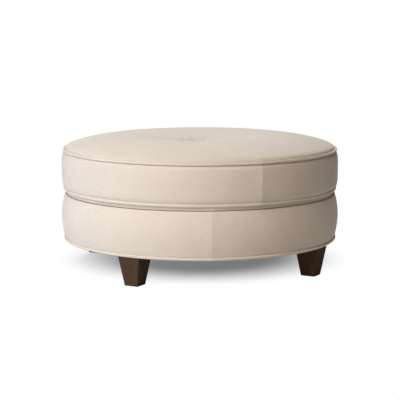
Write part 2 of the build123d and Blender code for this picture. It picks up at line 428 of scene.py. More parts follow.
@dataclass(frozen=True)
class Stuffing:
    """How stuffed cloth is blown up: the settings of its short cloth simulation.

    Attributes:
        pressure: The push from inside.
        slack: How much longer the cloth is than its start shape, as a share.
        bend: The cloth's stiffness in bending.
        frames: The length of the run.
        cap: The most that a point may move.
        mass: The mass of a point of the cloth, in kilograms.
        stretch: The cloth's stiffness in stretching and pressing together.
        shear: Its stiffness in shear.
        damping: How fast those movements die away.
        air: How much the air slows it.
        quality: The steps that a frame is worked out in.
    """

    pressure: float
    slack: float
    bend: float
    frames: int = 20
    cap: float = 5 * MM
    mass: float = 0.3
    stretch: float = 20
    shear: float = 8
    damping: float = 20
    air: float = 2
    quality: int = 6

    def moved(self, name: str, mesh: bpy.types.Mesh, held: np.ndarray) -> np.ndarray:
        """Blows a mesh up and measures how its points move.

        Args:
            name: The piece's name.
            mesh: The start shape.
            held: For each point, 1 where it is sewn fast and 0 where it is free.

        Returns:
            Each point's movement, capped, as points by three.
        """
        start = np.zeros(len(mesh.vertices) * 3)
        mesh.vertices.foreach_get("co", start)
        trial = bpy.data.objects.new(name + "_trial", mesh)
        bpy.context.scene.collection.objects.link(trial)
        group = trial.vertex_groups.new(name="sewn")
        for weight in np.unique(held):
            if weight > 0:
                group.add(np.flatnonzero(held == weight).tolist(), float(weight), "REPLACE")
        cloth = trial.modifiers.new("cloth", "CLOTH")
        settings = cloth.settings
        settings.quality = self.quality
        settings.mass = self.mass
        settings.tension_stiffness = settings.compression_stiffness = self.stretch
        settings.shear_stiffness = self.shear
        settings.bending_stiffness = self.bend
        settings.tension_damping = settings.compression_damping = settings.shear_damping = self.damping
        settings.air_damping = self.air
        settings.use_pressure = True
        settings.uniform_pressure_force = self.pressure
        settings.shrink_min = -self.slack
        settings.vertex_group_mass = group.name
        settings.effector_weights.gravity = 0
        cloth.collision_settings.use_collision = False
        scene = bpy.context.scene
        for step in range(1, self.frames + 1):
            scene.frame_set(step)
        result = trial.evaluated_get(bpy.context.evaluated_depsgraph_get()).to_mesh()
        ended = np.zeros_like(start)
        result.vertices.foreach_get("co", ended)
        bpy.data.objects.remove(trial)
        scene.frame_set(1)
        move = (ended - start).reshape(-1, 3)
        length = np.linalg.norm(move, axis=1, keepdims=True)
        return move * np.minimum(1, self.cap / np.maximum(length, 1e-9))


# Finishes


@dataclass(frozen=True)
class WovenCloth:
    """Plain-woven upholstery cloth of linen-look yarn. The slubs give level flecks, and the yarn no shine.

    The ranges say between which values of its noise a kind of fleck sets in.
    """

    name: str = "plain_woven_linen_look_cloth"
    ground: str = "#E1D3C6"
    pale_yarn: str = "#F0E8DC"
    dark_yarn: str = "#BFAE98"
    # The real yarns lie 0.9 mm apart, which is under a pixel, so they are drawn coarser
    yarn_pitch: float = 1.5 * MM
    yarn_contrast: float = 0.05
    slub_length: float = 34 * MM
    # Real slubs are 1 to 1.5 mm high and are drawn higher, to show as they do at this distance
    slub_height: float = 2.6 * MM
    slub_share: float = 0.40
    slub_relief: float = 1.4
    upright_length: float = 54.4 * MM
    pale_range: tuple[float, float] = (0.56, 0.74)
    dark_range: tuple[float, float] = (0.42, 0.27)
    upright_range: tuple[float, float] = (0.58, 0.78)
    mottle_size: float = 0.16
    mottle_share: float = 0.025
    bump_depth: float = 0.35 * MM

    def make(self) -> bpy.types.Material:
        """Builds the material on the cloth coordinates, which are in metres.

        Returns:
            The material.
        """
        material, put = new_material(self.name)
        cloth = put("ShaderNodeUVMap", uv_map=CLOTH_UV)
        split = put("ShaderNodeSeparateXYZ", {0: cloth})
        waves = []
        for axis in split.outputs[:2]:
            turn = put("ShaderNodeMath", {0: axis, 1: math.pi / self.yarn_pitch}, operation="MULTIPLY")
            waves.append(put("ShaderNodeMath", {0: turn}, operation="SINE"))
        cell = put("ShaderNodeMath", {0: waves[0], 1: waves[1]}, operation="MULTIPLY")
        size = put("ShaderNodeMath", {0: cell}, operation="ABSOLUTE")
        pillow = put("ShaderNodeMath", {0: size, 1: 0.5}, operation="POWER")
        over = put("ShaderNodeMath", {0: cell, 1: 0.0}, operation="GREATER_THAN")

        slubs = []
        for length, height in ((self.slub_length, self.slub_height), (self.slub_height, self.upright_length)):
            place = put("ShaderNodeMapping", {"Vector": cloth, "Scale": (1 / length, 1 / height, 1)})
            slubs.append(put("ShaderNodeTexNoise", {"Vector": place, "Scale": 1.0, "Detail": 2.5,
                                                    "Roughness": 0.55}))
        colour: Source | tuple = linear(self.ground)
        layers = ((slubs[0], self.pale_range, self.slub_share, self.pale_yarn),
                  (slubs[0], self.dark_range, self.slub_share, self.dark_yarn),
                  (slubs[1], self.upright_range, self.slub_share / 2, self.pale_yarn),
                  (over, (0.0, 1.0), self.yarn_contrast, self.dark_yarn))
        for pattern, (start, end), share, yarn in layers:
            cover = put("ShaderNodeMapRange", {0: pattern, 1: start, 2: end, 4: share})
            colour = put("ShaderNodeMix", {0: cover, 6: colour, 7: linear(yarn)}, data_type="RGBA").outputs[2]
        mottle = put("ShaderNodeTexNoise", {"Vector": cloth, "Scale": 1 / self.mottle_size, "Detail": 3.0})
        mottle_tone = put("ShaderNodeMapRange", {0: mottle, 1: 0.3, 2: 0.7, 3: 1 - self.mottle_share,
                                                 4: 1 + self.mottle_share})
        # Painted light and shade of each panel and welt, read from the faces, which also carry the plain tone
        # of the top and button
        cut = put("ShaderNodeAttribute", attribute_name=TONE_AND_PAINTED_SHADE, attribute_type="GEOMETRY").outputs["Fac"]
        tone = put("ShaderNodeMath", {0: mottle_tone, 1: cut}, operation="MULTIPLY")
        toned = put("ShaderNodeVectorMath", {0: colour, "Scale": tone}, operation="SCALE")

        lift = put("ShaderNodeMath", {0: slubs[0], 1: self.slub_relief, 2: pillow}, operation="MULTIPLY_ADD")
        rough = put("ShaderNodeMapRange", {0: slubs[0], 3: 0.82, 4: 0.94})
        end_material(put, toned, rough, {"Strength": 0.5, "Distance": self.bump_depth, "Height": lift}, {
            "IOR": 1.47, "Specular IOR Level": 0.25, "Sheen Weight": 0.18, "Sheen Roughness": 0.45,
            "Sheen Tint": linear("#FFF8EE"),
        })
        return material


@dataclass(frozen=True)
class Timber:
    """Wood with a drawn-out grain: what shows is how its colour varies along the fibres, and its lacquer."""

    name: str
    ground: str
    vein: str
    grain: Grain
    vein_width: float
    vein_length: float
    roughness: float
    gloss: float = 0.25
    pore_depth: float = 0.15 * MM
    pore_tone: float = 0.86
    patchiness: float = 0.06

    def make(self) -> bpy.types.Material:
        """Builds the material on object coordinates, with the veins stretched along the grain.

        Returns:
            The material.
        """
        material, put = new_material(self.name)
        place = put("ShaderNodeTexCoord").outputs["Object"]
        scale = [1 / self.vein_width] * 3
        scale[self.grain.value] = 1 / self.vein_length
        drawn = put("ShaderNodeMapping", {"Vector": place, "Scale": scale})
        vein = put("ShaderNodeTexNoise", {"Vector": drawn, "Scale": 1.0, "Detail": 5.0, "Roughness": 0.62,
                                          "Distortion": 0.7})
        pores = put("ShaderNodeTexNoise", {"Vector": drawn, "Scale": 5.0, "Detail": 2.0})
        depth = put("ShaderNodeMapRange", {0: vein, 1: 0.35, 2: 0.68})
        colour = put("ShaderNodeMix", {0: depth, 6: linear(self.vein), 7: linear(self.ground)},
                     data_type="RGBA").outputs[2]
        tone = put("ShaderNodeMapRange", {0: pores, 1: 0.3, 2: 0.6, 3: self.pore_tone, 4: 1.0})
        toned = put("ShaderNodeVectorMath", {0: colour, "Scale": tone}, operation="SCALE")
        rough = put("ShaderNodeMapRange", {0: vein, 3: self.roughness - self.patchiness,
                                           4: self.roughness + self.patchiness})
        end_material(put, toned, rough, {"Strength": 0.25, "Distance": self.pore_depth, "Height": pores},
                     {"IOR": 1.5, "Specular IOR Level": self.gloss})
        return material


@dataclass(frozen=True)
class Plies:
    """Sawn plywood: pale face veneer with open grain, and an edge of light and dark layers."""

    name: str = "sawn_birch_plywood"
    face: str = "#D9BC8C"
    dark_ply: str = "#A97F50"
    ply_thickness: float = 1.8 * MM
    grain_length: float = 71.4 * MM
    grain_width: float = 6.25 * MM
    grain_share: float = 0.35
    grain_depth: float = 0.2 * MM

    def make(self) -> bpy.types.Material:
        """Builds the material: layers by height, and a grain that runs along X.

        Returns:
            The material.
        """
        material, put = new_material(self.name)
        place = put("ShaderNodeTexCoord").outputs["Object"]
        across = 1 / self.grain_width
        drawn = put("ShaderNodeMapping", {"Vector": place, "Scale": (1 / self.grain_length, across, across)})
        grain = put("ShaderNodeTexNoise", {"Vector": drawn, "Scale": 1.0, "Detail": 6.0, "Distortion": 1.2})
        height = put("ShaderNodeSeparateXYZ", {0: place}).outputs["Z"]
        layer = put("ShaderNodeMath", {0: height, 1: math.pi / self.ply_thickness}, operation="MULTIPLY")
        wave = put("ShaderNodeMath", {0: layer}, operation="SINE")
        dark = put("ShaderNodeMapRange", {0: wave, 1: -0.2, 2: 0.3, 3: 0.0, 4: 0.7})
        normal = put("ShaderNodeNewGeometry").outputs["Normal"]
        level = put("ShaderNodeSeparateXYZ", {0: normal}).outputs["Z"]
        flat = put("ShaderNodeMath", {0: level}, operation="ABSOLUTE")
        edge = put("ShaderNodeMapRange", {0: flat, 1: 0.5, 2: 0.4})
        on_edge = put("ShaderNodeMath", {0: dark, 1: edge}, operation="MULTIPLY")
        share = put("ShaderNodeMath", {0: grain, 1: self.grain_share, 2: on_edge}, operation="MULTIPLY_ADD")
        colour = put("ShaderNodeMix", {0: share, 6: linear(self.face), 7: linear(self.dark_ply)},
                     data_type="RGBA").outputs[2]
        end_material(put, colour, 0.72, {"Strength": 0.3, "Distance": self.grain_depth, "Height": grain},
                     {"IOR": 1.5})
        return material


@dataclass(frozen=True)
class Speckled:
    """A material whose colour and surface vary in small flecks: fibre board, nylon, foam, thread or zinc."""

    name: str
    ground: str
    fleck: str
    fleck_size: float
    fleck_share: float
    roughness: float
    metallic: float = 0.0
    ior: float = 1.5
    depth: float = 0.1 * MM
    stretch: tuple[float, float, float] = (1, 1, 1)
    patchiness: float = 0.08

    def make(self) -> bpy.types.Material:
        """Builds the material on object coordinates.

        Returns:
            The material.
        """
        material, put = new_material(self.name)
        place = put("ShaderNodeTexCoord").outputs["Object"]
        scale = [1 / (self.fleck_size * share) for share in self.stretch]
        drawn = put("ShaderNodeMapping", {"Vector": place, "Scale": scale})
        noise = put("ShaderNodeTexNoise", {"Vector": drawn, "Scale": 1.0, "Detail": 4.0})
        share = put("ShaderNodeMapRange", {0: noise, 1: 0.4, 2: 0.7, 3: 0.0, 4: self.fleck_share})
        colour = put("ShaderNodeMix", {0: share, 6: linear(self.ground), 7: linear(self.fleck)},
                     data_type="RGBA").outputs[2]
        rough = put("ShaderNodeMapRange", {0: noise, 3: self.roughness - self.patchiness,
                                           4: self.roughness + self.patchiness})
        end_material(put, colour, rough, {"Strength": 0.4, "Distance": self.depth, "Height": noise},
                     {"IOR": self.ior, "Metallic": self.metallic})
        return material


# Stained hardwood, planed and sprayed with a satin lacquer: dark, close-grained, with a soft highlight
ESPRESSO = Timber("espresso_stained_hardwood_lacquered", "#5B4738", "#4E3C2F", Grain.UPRIGHT,
                  vein_width=5 * MM, vein_length=90 * MM, roughness=0.45, gloss=0.002)
# Planed spruce for the posts: pale, with straight resin-dark grain and no finish
SPRUCE = Timber("planed_spruce", "#E0C497", "#B98D58", Grain.UPRIGHT,
                vein_width=4 * MM, vein_length=120 * MM, roughness=0.7)
# The same spruce laid flat, as the leg blocks and the toggle are, so that its grain runs level
FLAT_SPRUCE = Timber("planed_spruce_laid_flat", "#DDC093", "#B98D58", Grain.LEVEL,
                     vein_width=4 * MM, vein_length=120 * MM, roughness=0.7)
# Pressed wood fibre board: even brown with short paler fibres
HARDBOARD = Speckled("pressed_fibre_board", "#6E4E34", "#93704D", 2.5 * MM, 0.6, 0.62)
# Open-cell polyurethane foam: pale yellow, matt and pitted
FOAM = Speckled("open_cell_foam", "#EFE6C4", "#D6C892", 1.6 * MM, 0.7, 0.95, depth=0.6 * MM)
# Spun-bonded polypropylene dust cloth: black, flat, with the faint lines of its bonded fibres
DUST_CLOTH = Speckled("spun_bonded_dust_cloth", "#1D1D1F", "#34343A", 1.2 * MM, 0.8, 0.85, stretch=(6, 1, 1))
# Waxed polyester tufting twine: off-white with darker turns of its strands
TWINE = Speckled("waxed_tufting_twine", "#E6DBC4", "#B9A987", 0.8 * MM, 0.8, 0.6, stretch=(1, 1, 2))
# Moulded nylon: brown-black with the soft bloom of a textured mould
NYLON = Speckled("moulded_nylon", "#33281F", "#463A30", 0.9 * MM, 0.5, 0.5, ior=1.53)
# Bright zinc plate on steel: cool grey with faint clouding
ZINC = Speckled("zinc_plated_steel", "#C4C6C6", "#A3A9AE", 3 * MM, 0.6, 0.34, metallic=1.0)
# Spun polyester sewing thread, matched to the cloth, which shows by its slight gloss and relief
THREAD = Speckled("spun_polyester_thread", "#DFD2C4", "#CDBFAD", 0.5 * MM, 0.6, 0.6)


@dataclass
class Finishes:
    """The made materials, by the name of the slot that they finish."""

    cloth: bpy.types.Material
    wood: bpy.types.Material
    plywood: bpy.types.Material
    softwood: bpy.types.Material
    flat_softwood: bpy.types.Material
    hardboard: bpy.types.Material
    dust_cloth: bpy.types.Material
    foam: bpy.types.Material
    twine: bpy.types.Material
    nylon: bpy.types.Material
    steel: bpy.types.Material
    thread: bpy.types.Material

    @classmethod
    def make(cls) -> "Finishes":
        """Builds every material once.

        Returns:
            The finishes.
        """
        return cls(WovenCloth().make(), ESPRESSO.make(), Plies().make(), SPRUCE.make(), FLAT_SPRUCE.make(),
                   HARDBOARD.make(), DUST_CLOTH.make(), FOAM.make(), TWINE.make(), NYLON.make(), ZINC.make(),
                   THREAD.make())

    def of_node(self, node: str, slot: str) -> bpy.types.Material:
        """The material of a CAD node.

        Args:
            node: The node's name.
            slot: Its slot in the record.

        Returns:
            The slot's material, and for softwood other than the posts the one whose grain runs level.
        """
        if slot == "softwood" and not node.startswith("post_"):
            return self.flat_softwood
        return {
            "linen": self.cloth, "espresso_wood": self.wood, "plywood": self.plywood,
            "softwood": self.softwood, "hardboard": self.hardboard, "dust_cloth": self.dust_cloth,
            "foam": self.foam, "twine": self.twine, "nylon": self.nylon, "zinc_steel": self.steel,
        }[slot]


def settle(piece: bpy.types.Object, slot: Slot, *nodes: str, fill: float | None = None) -> None:
    """Attaches a finished piece to the body, and hides the CAD nodes that it stands for.

    Args:
        piece: The piece, in place.
        slot: The material slot that it takes its finish from. Not used.
        *nodes: The CAD nodes that it stands for.
        fill: For a padded piece, how full it is. Not used.
    """
    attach(piece, BODY)
    if nodes:
        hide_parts(*nodes)
    log.info("%s: %d faces, stands for %s", piece.name, len(piece.data.polygons), ", ".join(nodes) or "none")


def tone_and_shade_pieces(mesh: bpy.types.Mesh, first_seam: float, tones_and_painted_shade: tuple[float, ...]) -> None:
    """Gives each face a factor on the cloth's colour for the cut that it belongs to: painted light and shade on
    the bands' panels and welts, lighter where they face the lamps and darker where they turn away or lie in
    shade.

    Args:
        mesh: The mesh, round the axis.
        first_seam: The angle of the first joint, in degrees.
        tones_and_painted_shade: The factor of each cut from there on, all of one length: painted light and
            shade on the bands and welts, the cloth's own tone on the top and button.
    """
    centres = np.zeros(len(mesh.polygons) * 3)
    mesh.polygons.foreach_get("center", centres)
    centres = centres.reshape(-1, 3)
    turn = (np.degrees(np.arctan2(centres[:, 1], centres[:, 0])) - first_seam) % 360
    cut = (turn / (360 / len(tones_and_painted_shade))).astype(int) % len(tones_and_painted_shade)
    layer = mesh.attributes.new(TONE_AND_PAINTED_SHADE, "FLOAT", "FACE")
    layer.data.foreach_set("value", np.array(tones_and_painted_shade)[cut].astype(np.float32))


def from_tree(name: str, tree: bpy.types.NodeTree, start: bpy.types.Mesh,
              values: dict[str, object]) -> bpy.types.Mesh:
    """Runs a geometry node tree on a mesh and keeps the result as a plain mesh.

    Args:
        name: The result's name.
        tree: The tree, whose inputs have names.
        start: The mesh that the tree starts from.
        values: The value of each named input.

    Returns:
        The new mesh.
    """
    holder = bpy.data.objects.new(name + "_start", start)
    bpy.context.scene.collection.objects.link(holder)
    modifier = holder.modifiers.new("build", "NODES")
    modifier.node_group = tree
    for item in tree.interface.items_tree:
        if item.in_out == "INPUT" and item.name in values:
            modifier[item.identifier] = values[item.name]
    graph = bpy.context.evaluated_depsgraph_get()
    mesh = bpy.data.meshes.new_from_object(holder.evaluated_get(graph), depsgraph=graph)
    mesh.name = name
    holder.modifiers.remove(modifier)
    bpy.data.objects.remove(holder)
    return mesh


def open_tree(name: str, measures: tuple[str, ...],
              counts: tuple[str, ...]) -> tuple[bpy.types.NodeTree, Adder, bpy.types.NodeOutputs]:
    """Starts a geometry node tree, with inputs for its start geometry and its finish.

    Args:
        name: The tree's name.
        measures: The names of its other inputs that take a measure.
        counts: The names of those that take a whole number.

    Returns:
        The tree, what adds a node to it, and its inputs.
    """
    tree = bpy.data.node_groups.new(name, "GeometryNodeTree")
    tree.interface.new_socket("Geometry", in_out="OUTPUT", socket_type="NodeSocketGeometry")
    kinds = {"Geometry": "Geometry", "Finish": "Material"}
    kinds |= dict.fromkeys(measures, "Float") | dict.fromkeys(counts, "Int")
    for label, kind in kinds.items():
        tree.interface.new_socket(label, in_out="INPUT", socket_type="NodeSocket" + kind)
    return tree, partial(add, tree), add(tree, "NodeGroupInput").outputs


def close_tree(put: Adder, geometry: Source, finish: Socket) -> None:
    """Ends a tree: its instances become real, and get their material.

    Args:
        put: What adds a node to the tree.
        geometry: What it made.
        finish: The material.
    """
    real = put("GeometryNodeRealizeInstances", {0: geometry})
    smooth = put("GeometryNodeSetShadeSmooth", {0: real})
    dressed = put("GeometryNodeSetMaterial", {"Geometry": smooth, "Material": finish})
    put("NodeGroupOutput", {0: dressed})


# Sub-assemblies


@dataclass
class Band:
    """A stuffed band of sewn panels, which swells between the welts above and below it.

    Attributes:
        name: The piece's name.
        node: The CAD node that it stands for.
        low: The height of the swelled side's lower seam.
        high: The height of its upper seam.
        low_radius: The radius at the lower seam.
        edge_radius: The radius at the upper seam.
        crest_radius: The radius where the side stands out furthest.
        power: The power that shapes the side: low gives a round side, high a flat one.
        root: The root that shapes it: low draws the side in sharply at its seams.
        hidden: The rest of the section, from the upper seam round the back to the lower one.
        joint: The sewn joints between its panels.
        tones_and_painted_shade: The painted light and shade of each panel, from the first joint on, as a factor
            on the cloth's colour.
        stuffing: How the band is blown up.
        side_rows: The rows of the swelled side.
        side_columns: Its columns.
        close_columns: How far from a joint extra columns lie, in millimetres.
        line_rows: The rows along a line of stitching.
        trial_rows: The rows of the cloth simulation's mesh.
        trial_columns: Its columns.
        rib_height: The height of the low ribs beside each joint, which its seam allowances print through.
        rib_pitch: Their distance. Real ones lie closer, and are drawn wide enough to show.
        rib_reach: How far from the joint they die away to a third.
        puckers: The puckers beside its welts.
        upper_phases: The phases of the waves that make the upper ones.
        lower_phases: Those of the lower ones.
        uneven_height: The height of the unevenness of stuffing by hand.
        uneven_length: Its length round the band.
        uneven_phases: Its phases.
        cross_phases: Those of the part of it that changes sides on the way up.
    """

    name: str
    node: str
    low: float
    high: float
    low_radius: float
    edge_radius: float
    crest_radius: float
    power: float
    root: float
    hidden: tuple[tuple[float, float], ...]
    joint: Joint
    tones_and_painted_shade: tuple[float, ...]
    stuffing: Stuffing = Stuffing(pressure=4, slack=0.002, bend=0.6)
    side_rows: int = 45
    side_columns: int = 640
    close_columns: tuple[float, ...] = (0, 0.8, 1.6, 2.4, 3.2, 4.0, 4.8, 5.6, 6.4, 7.4, 8.4, 9.6, 11.2)
    line_rows: int = 61
    trial_rows: int = 25
    trial_columns: int = 504
    rib_height: float = 0.5 * MM
    rib_pitch: float = 6.6 * MM
    rib_reach: float = 8 * MM
    puckers: Puckers = Puckers(0.42 * MM, 21 * MM, 13 * MM)
    upper_phases: tuple[float, ...] = (0.4, 2.1, 4.4, 5.2)
    lower_phases: tuple[float, ...] = (1.3, 3.6, 0.2, 2.7)
    uneven_height: float = 0.7 * MM
    uneven_length: float = 0.24
    uneven_phases: tuple[float, ...] = (2.2, 0.9, 5.1)
    cross_phases: tuple[float, ...] = (4.0, 1.7, 3.3)

    def side(self, rows: int) -> tuple[np.ndarray, np.ndarray]:
        """The swelled side, closer rows near its seams.

        Args:
            rows: How many rows it has.

        Returns:
            The section as radius and height, and each row's share from -1 at the lower seam to 1.
        """
        share = np.sin(np.linspace(-math.pi / 2, math.pi / 2, rows))
        edge = np.where(share < 0, self.low_radius, self.edge_radius)
        radius = edge + (self.crest_radius - edge) * (1 - np.abs(share) ** self.power) ** self.root
        height = (self.low + self.high) / 2 + share * (self.high - self.low) / 2
        return np.stack([radius, height], axis=1), share

    def columns(self) -> np.ndarray:
        """The columns' angles, with more of them at the sewn joints.

        Returns:
            The angles, in radians.
        """
        even = ring_angles(self.side_columns)
        steps = np.array(self.close_columns) * MM / self.edge_radius
        near = np.concatenate([steps, -steps[1:]])
        close = (self.joint.angles()[:, None] + near).ravel() % ROUND
        apart = np.abs(self.joint.along(even, 1.0)) > steps[-1] * 1.2
        return np.sort(np.concatenate([even[apart], close]))

    def blown(self, angles: np.ndarray, share: np.ndarray) -> np.ndarray:
        """How far the stuffing pushes the side out.

        Args:
            angles: The columns' angles, in radians.
            share: The rows' shares.

        Returns:
            The push at each point, as rows by columns.
        """
        section, _ = self.side(self.trial_rows)
        still = np.zeros((self.trial_rows, self.trial_columns))
        places = turned_places(section, ring_angles(self.trial_columns), still, still)
        mesh = woven_grid(self.name + "_trial", places, None, closed=False)
        held = np.zeros_like(still)
        held[[0, -1]] = 1
        move = self.stuffing.moved(self.name, mesh, held.ravel())
        flat = places.reshape(-1, 3)[:, :2]
        out = flat / np.linalg.norm(flat, axis=1, keepdims=True)
        push = (move[:, :2] * out).sum(axis=1).reshape(still.shape)
        log.info("%s: pushed out by %.1f mm on average", self.name, push.mean() / MM)
        row = (np.arcsin(share) / math.pi + 0.5) * (self.trial_rows - 1)
        column = angles / ROUND * self.trial_columns
        return sample_field(push, *np.broadcast_arrays(row[:, None], column[None, :]), round_columns=True)

    def relief(self, angles: np.ndarray, share: np.ndarray) -> np.ndarray:
        """The joints with the low ribs between their stitches, the puckers beside the welts and the
        unevenness of stuffing by hand.

        Args:
            angles: The columns' angles, in radians.
            share: The rows' shares.

        Returns:
            What each point's radius gains, as rows by columns.
        """
        along = self.joint.along(angles, self.edge_radius)
        ribs = -np.cos(ROUND * along / self.rib_pitch) * np.exp(-(along / self.rib_reach) ** 2)
        reach = (self.high - self.low) / 2
        # The ribs run down from the upper seam and end a third of the way from the middle to the lower one
        upper = np.clip(0.5 + 1.5 * share, 0, 1)[:, None]
        relief = self.rib_height * ribs * upper + self.joint.ridge(along)
        for end, phases in ((1, self.upper_phases), (-1, self.lower_phases)):
            distance = reach * (1 - end * share)
            relief += self.puckers.lift(distance[:, None], angles, self.edge_radius, phases)
        body = (1 - share**4)[:, None]
        uneven = ripple(angles, self.edge_radius, self.uneven_length, self.uneven_phases)
        cross = ripple(angles, self.edge_radius, self.uneven_length * 1.3, self.cross_phases)
        relief += self.uneven_height * body * (uneven + cross * share[:, None]) / 2
        return relief

    def build(self, finishes: Finishes) -> None:
        """Makes the band.

        Args:
            finishes: The made materials.
        """
        side, share = self.side(self.side_rows)
        angles = self.columns()
        section = np.concatenate([side, np.array(self.hidden)])
        out = np.zeros((len(section), len(angles)))
        out[:self.side_rows] = self.blown(angles, share) + self.relief(angles, share)
        piece = turned_piece(self.name, section, angles, out, 0 * out, finishes.cloth, closed=True,
                             radius=self.edge_radius)
        # Paints the light and shade of each panel into its colour
        tone_and_shade_pieces(piece.data, self.joint.angle, self.tones_and_painted_shade)
        settle(piece, Slot.LINEN, self.node, fill=0.9)

    def seam_line(self, seam: float, offset: float, margin: float) -> list[tuple[float, float, float]]:
        """Points up the band beside a sewn joint, on the cloth's surface.

        Args:
            seam: The joint's angle, in radians.
            offset: How far beside it the line lies.
            margin: How far from the band's own seams the line ends.

        Returns:
            The points, from the lowest up.
        """
        side, share = self.side(self.line_rows)
        angle = seam + offset / self.edge_radius
        relief = self.relief(np.array([angle]), share)[:, 0]
        inside = (side[:, 1] > self.low + margin) & (side[:, 1] < self.high - margin)
        radii = side[inside, 0] + relief[inside]
        return [(r * math.cos(angle), r * math.sin(angle), z) for r, z in zip(radii, side[inside, 1])]


@dataclass(frozen=True)
class Cord:
    """One covered cord.

    Attributes:
        node: The CAD node that it stands for.
        bead_radius: Its radius with its sleeve.
        joint: The joints of the band that it edges.
        tones_and_painted_shade: The painted light and shade of each length of its sleeve, as a factor on the
            cloth's colour.
        out: How much further out than the node it lies.
        up: How much higher.
        stretch: How much taller than wide it is.
    """

    node: str
    bead_radius: float
    joint: Joint
    tones_and_painted_shade: tuple[float, ...]
    out: float = 0.0
    up: float = 0.0
    stretch: float = 1.0


